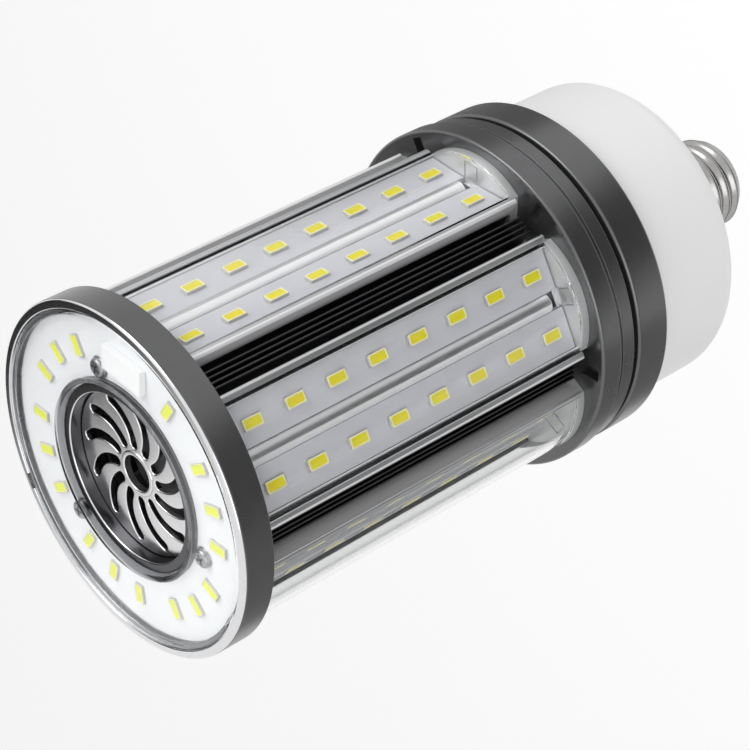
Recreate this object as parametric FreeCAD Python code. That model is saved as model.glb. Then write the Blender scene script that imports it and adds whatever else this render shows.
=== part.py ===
import FreeCAD, Part
import math
import os

os.makedirs("parts", exist_ok=True)
V = FreeCAD.Vector

# The lamp stands on the tip of its centre contact, with its light end up. Millimetres.

# Lengths along the axis, from the contact tip up
contact_height = 2.2
insulator_height = 4.0
shell_length = 26.6
dome_height = 8.0
shoulder_radius = 6.0
housing_length = 42.0
rear_ring_height = 10.8
gasket_height = 1.4
mid_band_height = 4.3
groove_height = 1.4
front_band_height = 6.8
end_plate_thickness = 2.6
sink_length = 107.5
web_thickness = 2.0
front_board_thickness = 1.6
cover_height = 3.0
lip_above_cover = 0.2
skirt_below_web = 2.0

# Radii and walls of the round pieces
collar_radius = 47.5
ring_radius = collar_radius - 0.5
rear_ring_radius = collar_radius - 0.6
housing_radius = rear_ring_radius - 4.3
ring_lip_wall = 2.4
ring_skirt_wall = 1.7
ring_edge_radius = 1.2
web_hole_radius = 24.0
groove_depth = 1.2
mid_band_depth = 0.9
gasket_lap = 0.6
collar_edge_radius = 0.8
collar_web_thickness = 4.0
collar_wall = 4.3
air_hole_radius = 21.0
housing_wall = 2.2
housing_flange_width = 1.6
housing_flange_height = 1.6
neck_radius = 11.4
neck_wall = 1.6
neck_base_radius = 15.4
neck_above_foot = 9.0
seat_clearance = 0.1
running_clearance = 0.03

# Heat sink section, one of six equal sides
side_count = 6
seat_distance = 37.0
plate_thickness = 2.4
ridge_half_width = 2.2
ridge_height = 2.4
ridge_crown = 1.2
board_edge = 13.15
lip_width = 0.6
lip_height = 1.6
slot_width = 1.1
slot_depth = 0.6
rail_half_width = 17.3
rail_height = 3.2
rail_edge_radius = 1.5
valley_floor = 32.5
valley_half_width = 4.6
fin_count = 4
fin_thickness = 0.6
fin_spacing = 1.45
fin_height = 7.5
bore_radius = 27.0
tube_wall = 2.2
rib_half_width = 1.6
inner_fin_count = 12
inner_fin_thickness = 1.2
inner_fin_height = 4.5
ridge_cutback = 4.0
wire_slot_length = 2.7
boss_radius = 2.8
boss_pitch_radius = 29.4
boss_angle = 16.8
boss_hole_radius = 1.5
boss_hole_depth = 9.0

# LED boards and LEDs
strip_thickness = 1.2
strip_end_gap = 0.3
strip_top_gap = 1.0
led_length = 5.7
led_width = 3.0
led_height = 0.8
leds_per_strip = 8
first_led_below_web = 10.43
last_led_above_foot = 6.77
led_pitch = (sink_length - first_led_below_web - last_led_above_foot) / (leds_per_strip - 1)
front_board_radius = ring_radius - ring_lip_wall - 0.3
front_board_hole_radius = 23.6
front_led_radius = (front_board_radius + front_board_hole_radius) / 2 + 0.55
front_group_angle = 46.8
front_led_step = 17.44
connector_length = 14.5
connector_width = 7.0
connector_height = 1.9
connector_radius = front_led_radius - 1.0
connector_angle = 56.5
screw_radius = 1.45
screw_hole_radius = 1.6
screw_head_radius = 2.5
screw_head_height = 1.5
screw_slot_length = 2.75
screw_slot_width = 0.7
screw_slot_depth = 0.8
board_screw_length = 10.5
board_screw_count = 3

# Covers
cover_wall = 1.2
cover_rise = 44.8
cover_shoulder = 2.3
cover_foot = 1.0
cover_fit = 0.05
front_cover_radius = front_board_radius + 0.1
front_cover_hole_radius = 25.3
front_cover_plate = 1.0

# Vent
bezel_radius = 25.0
bezel_bore_radius = 22.4
bezel_wall = 1.0
bezel_flange_height = 1.2
grille_depth = 3.0
grille_radius = 22.2
grille_thickness = 1.6
grille_ledge_radius = 21.0
grille_ledge_height = 3.0
slot_count = 12
slot_half_width = 1.3
slot_start_angle = 6.0
slot_radii = (8.2, 13.2, 19.3)
slot_sweeps = (0.0, 6.5, 23.0)
hub_hole_radius = 4.8
hub_ring_radius = 6.1
hub_ring_height = 0.3

# Cooling fan
fan_width = 40.0
fan_height = 10.0
fan_corner_radius = 4.0
fan_duct_radius = 18.8
fan_screw_offset = 15.7
fan_screw_radius = 0.8
fan_strut_width = 2.4
fan_base_radius = 9.6
fan_base_thickness = 1.2
blade_count = 7
blade_thickness = 0.9
blade_tip_gap = 0.6
blade_pitch_angle = 38.0
blade_height = 6.6
hub_radius = 9.3
hub_wall = 1.0
hub_height = 7.0
magnet_wall = 1.0
shaft_radius = 1.0
bearing_radius = 2.2
bearing_tube_wall = 0.8
bearing_length = 6.0
stator_radius = 6.4
stator_height = 3.6
fan_circuit_radius = 7.4
fan_circuit_thickness = 0.8
rotor_gap = 0.4
rotor_below_frame = 0.8

# Screw base
shell_crest_radius = 13.2
shell_root_radius = 12.1
shell_wall = 0.5
thread_pitch = 3.63
shell_rim_radius = 13.9
shell_rim_height = 1.6
insulator_top_radius = 10.6
insulator_tip_radius = 6.2
insulator_hole_radius = 1.4
contact_radius = 5.4

# Driver
driver_width = 2 * (housing_radius - 12.6)
driver_height = housing_length
driver_thickness = 1.6
rail_thickness = 1.6
rail_overlap = 3.0
rail_length = 30.0
rail_foot = 5.0
transformer_size = (20.0, 15.0, 17.0)
transformer_place = (-4.0, 10.0)
transformer_waist = 1.5
capacitor_radius = 5.0
capacitor_length = 20.0
capacitor_places = ((16.0, 14.0), (16.0, 27.0))
capacitor_edge = 0.6
choke_radius = 7.0
choke_height = 8.0
choke_place = (-2.0, 20.0)
lead_radius = 0.7
lead_bend = 6.0
lead_below_edge = 4.0
fan_lead_radius = 0.55

# Housing and collar fasteners
housing_screw_count = 4
housing_screw_angle = 61.0
housing_boss_radius = 3.4
housing_screw_circle = housing_radius - 4.2
housing_recess_radius = 3.6
housing_recess_wall = 1.2
housing_recess_floor = 1.6
collar_notch_width = 3.2
collar_notch_depth = 2.4
collar_notch_inner = 40.2
collar_notch_outer = 45.8
lip_notch_width = 4.2
lip_notch_depth = 0.7
plate_disc_radius = 34.0
plate_lobe_root = 25.0
tab_half_width = 2.4
tab_length = 4.2
tab_line_width = 0.45
tab_line_depth = 0.5
tab_above_strip = 0.2

# Stations along the axis
shell_bottom = contact_height + insulator_height
shell_top = shell_bottom + shell_length
dome_bottom = shell_top
shoulder_z = dome_bottom + dome_height + shoulder_radius
rear_ring_bottom = shell_top + housing_length
rear_ring_top = rear_ring_bottom + rear_ring_height
gasket_top = rear_ring_top + gasket_height
mid_band_top = gasket_top + mid_band_height
front_band_bottom = mid_band_top + groove_height
collar_top = front_band_bottom + front_band_height
sink_bottom = collar_top + end_plate_thickness
sink_top = sink_bottom + sink_length
board_bottom = sink_top + web_thickness
board_top = board_bottom + front_board_thickness
led_top = board_top + led_height
cover_top = board_top + cover_height
lip_top = cover_top + lip_above_cover
skirt_bottom = sink_top - skirt_below_web
grille_top = led_top - grille_depth
grille_bottom = grille_top - grille_thickness
ledge_bottom = grille_bottom - grille_ledge_height
fan_top = ledge_bottom
fan_bottom = fan_top - fan_height
strip_bottom = sink_bottom + strip_end_gap
strip_top = sink_top - strip_top_gap
side_step = 360.0 / side_count


def turned(points, start=0.0):
    """A closed outline of (radius, height) points turned about the axis."""
    corners = [V(r, 0, z) for r, z in points]
    outline = Part.makePolygon(corners + [corners[0]])
    return Part.Face(outline).revolve(V(0, 0, 0), V(0, 0, 1), 360)


def tube(outer, inner, bottom, top):
    """A plain ring between two heights."""
    return turned([(inner, bottom), (outer, bottom), (outer, top), (inner, top)])


def disc(radius, bottom, top, x=0.0, y=0.0):
    return Part.makeCylinder(radius, top - bottom, V(x, y, bottom), V(0, 0, 1))


def block(x_low, x_high, y_low, y_high, z_low, z_high):
    """A box from its limits."""
    size = (x_high - x_low, y_high - y_low, z_high - z_low)
    return Part.makeBox(size[0], size[1], size[2], V(x_low, y_low, z_low))


def spun(shape, angle):
    """A copy turned about the axis."""
    copy = shape.copy()
    copy.rotate(V(0, 0, 0), V(0, 0, 1), angle)
    return copy


def polar(radius, angle):
    return radius * math.cos(math.radians(angle)), radius * math.sin(math.radians(angle))


def prism(points, bottom, top):
    """A flat outline of (x, y) points raised between two heights."""
    corners = [V(x, y, bottom) for x, y in points]
    face = Part.Face(Part.makePolygon(corners + [corners[0]]))
    return face.extrude(V(0, 0, top - bottom))


def save(name, shape):
    shape.exportStep("parts/" + name + ".step")
    print(name, len(shape.Solids), "solids", round(shape.Volume, 1), "mm3", shape.isValid())


def end_ring():
    """A dish with a rounded lip above its web and a short skirt below it."""
    lip_inner = ring_radius - ring_lip_wall
    skirt_inner = ring_radius - ring_skirt_wall
    edge = ring_edge_radius
    profile = [
        (web_hole_radius, sink_top),
        (skirt_inner, sink_top),
        (skirt_inner, skirt_bottom),
        (ring_radius, skirt_bottom),
    ]
    for step in range(5):
        turn = math.radians(90.0 * step / 4)
        r = ring_radius - edge + edge * math.cos(turn)
        profile.append((r, lip_top - edge + edge * math.sin(turn)))
    profile += [(lip_inner, lip_top), (lip_inner, board_bottom), (web_hole_radius, board_bottom)]
    ring = turned(profile)
    for x, y in screw_places(board_screw_count):
        ring = ring.cut(disc(screw_hole_radius, sink_top - 1, board_bottom + 1, x, y))
    ring = ring.cut(supply_lead_hole(sink_top - 1, board_bottom + 1))
    for side in (0.0, 180.0):
        notch = block(
            lip_inner - 1, lip_inner + lip_notch_depth,
            -lip_notch_width / 2, lip_notch_width / 2,
            cover_top - lip_notch_depth, lip_top + 1,
        )
        ring = ring.cut(spun(notch, side))
    return ring


def screw_places(count):
    """Centres of the bosses that take the board screws, and of those that take the collar screws."""
    turn = 360.0 / count
    first = boss_angle + side_step
    return [polar(boss_pitch_radius, first + turn * k) for k in range(count)]


def supply_lead_place():
    """The supply lead runs in a hollow of the heat sink, under the connector."""
    x, y = connector_radius - 1.2, -(ridge_half_width + 1.6)
    turn = math.radians(side_step)
    return (
        x * math.cos(turn) - y * math.sin(turn),
        x * math.sin(turn) + y * math.cos(turn),
    )


def supply_lead_hole(bottom, top):
    x, y = supply_lead_place()
    return disc(lead_radius + 0.4, bottom, top, x, y)


def front_board():
    board = tube(front_board_radius, front_board_hole_radius, board_bottom, board_top)
    for x, y in screw_places(board_screw_count):
        board = board.cut(disc(screw_hole_radius, board_bottom - 1, board_top + 1, x, y))
    return board.cut(supply_lead_hole(board_bottom - 1, board_top + 1))


def front_led_angles():
    """Six groups of three, less the two places where the connector stands."""
    angles = []
    for group in range(side_count):
        for step in (-1, 0, 1):
            angle = front_group_angle + side_step * group + front_led_step * step
            if abs(angle - connector_angle) > front_led_step * 0.75:
                angles.append(angle)
    return angles


def front_leds():
    led = block(
        front_led_radius - led_length / 2, front_led_radius + led_length / 2,
        -led_width / 2, led_width / 2,
        board_top, led_top,
    )
    return Part.makeCompound([spun(led, angle) for angle in front_led_angles()])


def board_connector():
    body = block(
        connector_radius - connector_width / 2, connector_radius + connector_width / 2,
        -connector_length / 2, connector_length / 2,
        board_top, board_top + connector_height,
    )
    body = body.makeFillet(0.3, body.Edges)
    body = spun(body, connector_angle)
    return body.cut(supply_lead_hole(board_top - 1, board_top + 1.2))


def pan_screw(x, y, seat, length):
    """A pan head screw that points down from its seat, with a cross recess."""
    head = disc(screw_head_radius, seat, seat + screw_head_height, x, y)
    rim = [e for e in head.Edges if e.BoundBox.ZMin > seat + screw_head_height / 2]
    head = head.makeFillet(screw_head_height * 0.5, [e for e in rim if e.Length > 1])
    shank = disc(screw_radius, seat - length, seat, x, y)
    screw = head.fuse(shank)
    long_half = screw_slot_length / 2
    short_half = screw_slot_width / 2
    top = seat + screw_head_height
    low = top - screw_slot_depth
    for wide, deep in ((long_half, short_half), (short_half, long_half)):
        screw = screw.cut(block(x - wide, x + wide, y - deep, y + deep, low, top + 1))
    return screw.removeSplitter()


def board_screws():
    places = screw_places(board_screw_count)
    return Part.makeCompound([pan_screw(x, y, board_top, board_screw_length) for x, y in places])


def front_cover():
    """A clear channel turned upside down over the board, with rounded shoulders."""
    edge = 1.0
    outer = front_cover_radius
    inner = front_cover_hole_radius
    profile = [(outer - cover_wall, board_top), (outer, board_top)]
    for step in range(5):
        turn = math.radians(90.0 * step / 4)
        r = outer - edge + edge * math.cos(turn)
        profile.append((r, cover_top - edge + edge * math.sin(turn)))
    for step in range(5):
        turn = math.radians(90.0 + 90.0 * step / 4)
        r = inner + edge + edge * math.cos(turn)
        profile.append((r, cover_top - edge + edge * math.sin(turn)))
    profile += [
        (inner, board_top),
        (inner + cover_wall, board_top),
        (inner + cover_wall, cover_top - front_cover_plate),
        (outer - cover_wall, cover_top - front_cover_plate),
    ]
    return turned(profile)


def vent_bezel():
    """The ring round the fan opening, its cup wall, and the ledge under the grille."""
    wall = bezel_bore_radius + bezel_wall
    flange_top = board_top + bezel_flange_height
    profile = [
        (grille_ledge_radius, ledge_bottom),
        (wall, ledge_bottom),
        (wall, board_top),
        (bezel_radius, board_top),
        (bezel_radius, flange_top - 0.5),
        (bezel_radius - 0.5, flange_top),
        (bezel_bore_radius + 0.4, flange_top),
        (bezel_bore_radius, flange_top - 0.4),
        (bezel_bore_radius, grille_bottom),
        (grille_ledge_radius, grille_bottom),
    ]
    bezel = turned(profile)
    for x, y in fan_screw_places():
        bezel = bezel.cut(disc(fan_screw_radius, ledge_bottom - 1, grille_bottom - 0.6, x, y))
    return bezel


def curved_slot():
    """One slot of the grille, an arc with rounded ends."""
    low = grille_bottom - 1
    height = grille_thickness + hub_ring_height + 2
    places = []
    for radius, sweep in zip(slot_radii, slot_sweeps):
        x, y = polar(radius, sweep)
        places.append(V(x, y, low))
    middle_line = Part.Wire([Part.Arc(places[0], places[1], places[2]).toShape()])
    outline = middle_line.makeOffset2D(slot_half_width)
    return Part.Face(outline).extrude(V(0, 0, height))


def vent_grille():
    disc_shape = disc(grille_radius, grille_bottom, grille_top)
    hub_ring = disc(hub_ring_radius, grille_bottom, grille_top + hub_ring_height)
    grille = disc_shape.fuse(hub_ring)
    grille = grille.cut(disc(hub_hole_radius, grille_bottom - 1, grille_top + 2))
    slot = curved_slot()
    step = 360.0 / slot_count
    slots = [spun(slot, slot_start_angle + step * k) for k in range(slot_count)]
    return grille.cut(slots).removeSplitter()


def fan_screw_places():
    side = fan_screw_offset
    return [(side, side), (-side, side), (-side, -side), (side, -side)]


def fan_frame():
    """A square frame with a round duct, four struts, and the motor base with its bearing tube."""
    half = fan_width / 2
    frame = block(-half, half, -half, half, fan_bottom, fan_top)
    upright = [e for e in frame.Edges if e.BoundBox.ZLength > fan_height / 2]
    frame = frame.makeFillet(fan_corner_radius, upright)
    frame = frame.cut(disc(fan_duct_radius, fan_bottom - 1, fan_top + 1))
    base_top = fan_bottom + fan_base_thickness
    parts = [disc(fan_base_radius, fan_bottom, base_top)]
    for k in range(4):
        strut = block(
            fan_base_radius - 1, fan_duct_radius + 0.5,
            -fan_strut_width / 2, fan_strut_width / 2,
            fan_bottom, base_top,
        )
        parts.append(spun(strut, 45 + 90 * k))
    tube_radius = bearing_radius + bearing_tube_wall
    parts.append(disc(tube_radius, fan_bottom, base_top + bearing_length))
    frame = frame.fuse(parts)
    frame = frame.cut(disc(bearing_radius, fan_bottom + 0.6, fan_top + 1))
    for x, y in fan_screw_places():
        frame = frame.cut(disc(fan_screw_radius + 0.1, fan_bottom - 1, fan_top + 1, x, y))
    return frame.removeSplitter()


def fan_bearing():
    low = fan_bottom + fan_base_thickness
    return tube(bearing_radius, shaft_radius + running_clearance, low, low + bearing_length)


def fan_circuit():
    """The small round board at the foot of the coil core."""
    low = fan_bottom + fan_base_thickness
    inner = bearing_radius + bearing_tube_wall
    return tube(fan_circuit_radius, inner, low, low + fan_circuit_thickness)


def fan_stator():
    """A four-pole core on the bearing tube."""
    low = fan_bottom + fan_base_thickness + fan_circuit_thickness
    inner = bearing_radius + bearing_tube_wall
    core = tube(stator_radius, inner, low, low + stator_height)
    for k in range(4):
        gap = block(inner + 1.4, stator_radius + 1, -0.6, 0.6, low - 1, low + stator_height + 1)
        core = core.cut(spun(gap, 45 + 90 * k))
    return core


def rotor_top():
    return fan_top - rotor_below_frame


def fan_rotor():
    """A hub cup with seven twisted blades, open below for the magnet and the coil."""
    top = rotor_top()
    low = top - hub_height
    hub = disc(hub_radius, low, top)
    rim = [e for e in hub.Edges if e.BoundBox.ZMin > top - 0.1 and e.Length > 1]
    hub = hub.makeFillet(0.6, rim)
    hub = hub.cut(disc(hub_radius - hub_wall, low - 1, top - hub_wall))
    boss = disc(shaft_radius + 0.8, top - hub_wall - 0.8, top - hub_wall / 2)
    hub = hub.fuse(boss)
    tip = fan_duct_radius - blade_tip_gap
    middle = low + hub_height / 2
    chord = blade_height / math.cos(math.radians(blade_pitch_angle))
    start = V(hub_radius - hub_wall / 2, -blade_thickness / 2, -chord / 2)
    blade = Part.makeBox(tip - hub_radius + hub_wall, blade_thickness, chord, start)
    blade.rotate(V(0, 0, 0), V(1, 0, 0), blade_pitch_angle)
    blade.translate(V(0, 0, middle))
    keep = tube(tip, hub_radius - hub_wall / 2, low, top)
    blade = blade.common(keep)
    step = 360.0 / blade_count
    rotor = hub.fuse([spun(blade, step * k) for k in range(blade_count)])
    rotor = rotor.cut(disc(shaft_radius, low - 1, top - hub_wall / 2))
    return rotor.removeSplitter()


def fan_magnet():
    top = rotor_top() - hub_wall
    outer = hub_radius - hub_wall
    low = rotor_top() - hub_height + rotor_gap
    return tube(outer, outer - magnet_wall, low, top - rotor_gap)


def fan_shaft():
    low = fan_bottom + fan_base_thickness
    return disc(shaft_radius, low, rotor_top() - hub_wall / 2)


def fan_screws():
    """Four long screws that come up through the frame into the ledge."""
    screws = []
    for x, y in fan_screw_places():
        head = disc(fan_screw_radius * 1.9, fan_bottom - 1.0, fan_bottom, x, y)
        shank = disc(fan_screw_radius, fan_bottom, grille_bottom - 0.8, x, y)
        screws.append(head.fuse(shank).removeSplitter())
    return Part.makeCompound(screws)


def to_side(r, w, angle):
    """A point of one side of the heat sink, r out along its normal and w across it."""
    turn = math.radians(angle)
    return (
        r * math.cos(turn) - w * math.sin(turn),
        r * math.sin(turn) + w * math.cos(turn),
    )


def rail_slot_edges():
    """Distances across a side of the board lip and of the cover slot."""
    lip_outer = board_edge + lip_width
    return lip_outer, lip_outer + slot_width


def side_half_outline():
    """Half a side's outline, from the crown of the ridge to the rounded corner of the rail."""
    lip_outer, slot_outer = rail_slot_edges()
    seat = seat_distance
    bend = (ridge_half_width ** 2 + ridge_crown ** 2) / (2 * ridge_crown)
    sweep = math.asin(ridge_half_width / bend)
    points = []
    for step in (1, 3, 5, 6):
        turn = sweep * step / 6
        points.append((seat + ridge_height - bend + bend * math.cos(turn), bend * math.sin(turn)))
    points += [
        (seat, ridge_half_width),
        (seat, board_edge),
        (seat + lip_height, board_edge),
        (seat + lip_height, lip_outer),
        (seat + slot_depth, lip_outer),
        (seat + slot_depth, slot_outer),
        (seat + rail_height, slot_outer),
    ]
    edge = rail_edge_radius
    for step in range(4):
        turn = math.radians(90.0 * step / 3)
        r = seat + rail_height - edge + edge * math.cos(turn)
        points.append((r, rail_half_width - edge + edge * math.sin(turn)))
    return points


def valley_outline():
    """The finned groove between two sides, in its own axes, from one wall to the other."""
    points = [(valley_floor, -valley_half_width)]
    first = -fin_spacing * (fin_count - 1) / 2
    for k in range(fin_count):
        middle = first + fin_spacing * k
        low = middle - fin_thickness / 2
        high = middle + fin_thickness / 2
        tip = valley_floor + fin_height
        points += [(valley_floor, low), (tip, low), (tip, high), (valley_floor, high)]
    points.append((valley_floor, valley_half_width))
    return points


def sink_outline():
    """The whole outer outline of the extrusion."""
    half = side_half_outline()
    points = []
    for k in range(side_count):
        angle = side_step * k
        points += [to_side(r, -w, angle) for r, w in reversed(half)]
        points += [to_side(r, w, angle) for r, w in half]
        points += [to_side(q, d, angle + side_step / 2) for q, d in valley_outline()]
    return points


def pocket_outline():
    """A hollow beside the middle rib of one side."""
    inner = bore_radius + tube_wall
    outer = seat_distance - plate_thickness
    return [
        (inner, rib_half_width),
        (outer, rib_half_width),
        (outer, board_edge - 1.0),
        (inner, board_edge - 4.0),
    ]


def heat_sink():
    sink = prism(sink_outline(), sink_bottom, sink_top)
    cuts = [disc(bore_radius, sink_bottom - 1, sink_top + 1)]
    for k in range(side_count):
        for way in (-1, 1):
            corners = [to_side(r, way * w, side_step * k) for r, w in pocket_outline()]
            cuts.append(prism(corners, sink_bottom - 1, sink_top + 1))
        ridge_cut = block(
            seat_distance, seat_distance + ridge_height + 1,
            -ridge_half_width - 0.01, ridge_half_width + 0.01,
            sink_bottom - 1, sink_bottom + ridge_cutback,
        )
        wire_slot = block(
            seat_distance - plate_thickness - 1.6, seat_distance + 1,
            -ridge_half_width + 0.15, ridge_half_width - 0.15,
            sink_bottom + 1.0, sink_bottom + 1.0 + wire_slot_length,
        )
        cuts += [spun(ridge_cut, side_step * k), spun(wire_slot, side_step * k)]
    sink = sink.cut(cuts)
    adds = []
    for k in range(side_count):
        x, y = polar(boss_pitch_radius, boss_angle + side_step * k)
        adds.append(disc(boss_radius, sink_bottom, sink_top, x, y))
    for k in range(inner_fin_count):
        fin = block(
            bore_radius - inner_fin_height, bore_radius + 0.4,
            -inner_fin_thickness / 2, inner_fin_thickness / 2,
            sink_bottom, fan_bottom - 2.0,
        )
        adds.append(spun(fin, 360.0 / inner_fin_count * (k + 0.5)))
    sink = sink.fuse(adds)
    holes = [disc(bore_radius, fan_bottom - 2.0, sink_top + 1)]
    for x, y in screw_places(board_screw_count):
        holes.append(disc(boss_hole_radius, sink_top - boss_hole_depth, sink_top + 1, x, y))
        low = sink_bottom - 1
        holes.append(disc(boss_hole_radius, low, sink_bottom + boss_hole_depth, x, y))
    return sink.cut(holes).removeSplitter()


def strip_middle():
    """Distance of a strip's middle from the middle of its side."""
    return (ridge_half_width + board_edge) / 2


def side_strips():
    """The twelve boards in order, two to a side."""
    half = (board_edge - ridge_half_width) / 2 - seat_clearance
    strips = []
    for k in range(side_count):
        for way in (-1, 1):
            middle = way * strip_middle()
            strip = block(
                seat_distance, seat_distance + strip_thickness,
                middle - half, middle + half,
                strip_bottom, strip_top,
            )
            strips.append(spun(strip, side_step * k))
    return strips


def side_leds():
    """The LEDs of each side, sixteen solids to a side."""
    face = seat_distance + strip_thickness
    groups = []
    for k in range(side_count):
        leds = []
        for way in (-1, 1):
            middle = way * strip_middle()
            for n in range(leds_per_strip):
                z = sink_top - first_led_below_web - led_pitch * n
                led = block(
                    face, face + led_height,
                    middle - led_width / 2, middle + led_width / 2,
                    z - led_length / 2, z + led_length / 2,
                )
                leds.append(spun(led, side_step * k))
        groups.append(Part.makeCompound(leds))
    return groups


def cover_edges():
    """Half widths and heights that the clear covers and the end plate share."""
    outer = rail_slot_edges()[1] - cover_fit
    inner = outer - cover_foot
    foot = seat_distance + slot_depth + 0.1
    shoulder = seat_distance + cover_shoulder
    return outer, inner, foot, shoulder


def side_covers():
    """A bulged clear cover for each side, with a foot in each slot."""
    outer, inner, foot, shoulder = cover_edges()
    low, high = sink_bottom, sink_top
    apex = cover_rise
    first = Part.Arc(V(shoulder, outer, low), V(apex, 0, low), V(shoulder, -outer, low)).toShape()
    second = Part.Arc(
        V(shoulder + 0.3, -inner, low), V(apex - cover_wall, 0, low), V(shoulder + 0.3, inner, low)
    ).toShape()
    left = Part.makePolygon([
        V(shoulder, -outer, low), V(foot, -outer, low),
        V(foot, -inner, low), V(shoulder + 0.3, -inner, low),
    ])
    right = Part.makePolygon([
        V(shoulder + 0.3, inner, low), V(foot, inner, low),
        V(foot, outer, low), V(shoulder, outer, low),
    ])
    wire = Part.Wire([first] + left.Edges + [second] + right.Edges)
    cover = Part.Face(wire).extrude(V(0, 0, high - low))
    return [spun(cover, side_step * k) for k in range(side_count)]


def end_plate():
    """A thin plate with a lobe behind each cover, and the outline of a tab on each lobe."""
    outer, inner, foot, shoulder = cover_edges()
    low, high = collar_top, sink_bottom
    arc = Part.Arc(V(shoulder, outer, low), V(cover_rise, 0, low), V(shoulder, -outer, low)).toShape()
    sides = Part.makePolygon([
        V(shoulder, -outer, low), V(plate_lobe_root, -outer, low),
        V(plate_lobe_root, outer, low), V(shoulder, outer, low),
    ])
    lobe = Part.Face(Part.Wire([arc] + sides.Edges)).extrude(V(0, 0, high - low))
    plate = disc(plate_disc_radius, low, high)
    plate = plate.fuse([spun(lobe, side_step * k) for k in range(side_count)])
    plate = plate.cut(disc(air_hole_radius, low - 1, high + 1))
    cuts = []
    half = tab_half_width
    line = tab_line_width
    base = seat_distance + strip_thickness + tab_above_strip
    tip = base + tab_length
    for k in range(side_count):
        tab = block(base, tip, -half, half, high - tab_line_depth, high + 1)
        tab = tab.cut(block(base - 1, tip - line, -half + line, half - line, high - 1, high + 2))
        cuts.append(spun(tab, side_step * k))
    for x, y in screw_places(board_screw_count):
        cuts.append(disc(screw_hole_radius, low - 1, high + 1, x, y))
    cuts.append(supply_lead_hole(low - 1, high + 1))
    return plate.cut(cuts).removeSplitter()


def collar():
    """The front casting: a web under the end plate, a wide band, a groove and a narrow band."""
    edge = collar_edge_radius
    mid_radius = collar_radius - mid_band_depth
    groove_radius = collar_radius - groove_depth
    inner = collar_radius - collar_wall
    web_bottom = collar_top - collar_web_thickness
    profile = [
        (air_hole_radius, web_bottom),
        (inner, web_bottom),
        (inner, gasket_top),
        (mid_radius, gasket_top),
        (mid_radius, mid_band_top),
        (groove_radius, mid_band_top),
        (groove_radius, front_band_bottom),
        (collar_radius, front_band_bottom),
    ]
    for step in range(5):
        turn = math.radians(90.0 * step / 4)
        r = collar_radius - edge + edge * math.cos(turn)
        profile.append((r, collar_top - edge + edge * math.sin(turn)))
    profile.append((air_hole_radius, collar_top))
    ring = turned(profile)
    cuts = []
    for k in range(side_count):
        notch = block(
            collar_notch_inner, collar_notch_outer,
            -collar_notch_width / 2, collar_notch_width / 2,
            collar_top - collar_notch_depth, collar_top + 1,
        )
        cuts.append(spun(notch, side_step * (k + 0.5)))
    for x, y in screw_places(board_screw_count):
        cuts.append(disc(screw_hole_radius, web_bottom - 1, collar_top + 1, x, y))
    for x, y in housing_screw_places():
        cuts.append(disc(boss_hole_radius, web_bottom - 1, collar_top - 1.0, x, y))
    cuts.append(supply_lead_hole(web_bottom - 1, collar_top + 1))
    return ring.cut(cuts).removeSplitter()


def collar_screws():
    """Screws that come up through the collar and the end plate into the heat sink."""
    seat = collar_top - collar_web_thickness
    screws = []
    for x, y in screw_places(board_screw_count):
        screw = pan_screw(x, y, 0, board_screw_length)
        screw.rotate(V(x, y, 0), V(1, 0, 0), 180)
        screw.translate(V(0, 0, seat))
        screws.append(screw)
    return Part.makeCompound(screws)


def collar_gasket():
    outer = rear_ring_radius - mid_band_depth - groove_depth
    return tube(outer, housing_radius - gasket_lap, rear_ring_top, gasket_top)


def rear_ring():
    """The widest band, stepped inside for the flange of the driver housing."""
    edge = collar_edge_radius
    flange = housing_radius + housing_flange_width + seat_clearance
    bore = housing_radius + seat_clearance
    shelf = rear_ring_top - housing_flange_height - seat_clearance
    profile = [(bore, rear_ring_bottom)]
    for step in range(5):
        turn = math.radians(-90.0 + 90.0 * step / 4)
        r = rear_ring_radius - edge + edge * math.cos(turn)
        profile.append((r, rear_ring_bottom + edge + edge * math.sin(turn)))
    for step in range(5):
        turn = math.radians(90.0 * step / 4)
        r = rear_ring_radius - edge + edge * math.cos(turn)
        profile.append((r, rear_ring_top - edge + edge * math.sin(turn)))
    profile += [(flange, rear_ring_top), (flange, shelf), (bore, shelf)]
    return turned(profile)


def housing_screw_places():
    turn = 360.0 / housing_screw_count
    return [
        polar(housing_screw_circle, housing_screw_angle + turn * k)
        for k in range(housing_screw_count)
    ]


def housing_outline(offset):
    """Outer line of the driver housing, from the neck to its top, drawn in by an offset."""
    points = []
    corner = housing_radius - shoulder_radius
    start = neck_base_radius
    rise = shoulder_z - shoulder_radius - dome_bottom
    slope = math.degrees(math.atan2(rise, corner - start))
    points.append((start - offset, dome_bottom + offset * 0.9))
    bend = shoulder_radius - offset
    for step in range(7):
        turn = math.radians(-90.0 + slope + (90.0 - slope) * step / 6)
        points.append((corner + bend * math.cos(turn), shoulder_z + bend * math.sin(turn)))
    return points


def housing_screw_seat():
    return shoulder_z - shoulder_radius + housing_wall + housing_recess_floor


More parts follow.
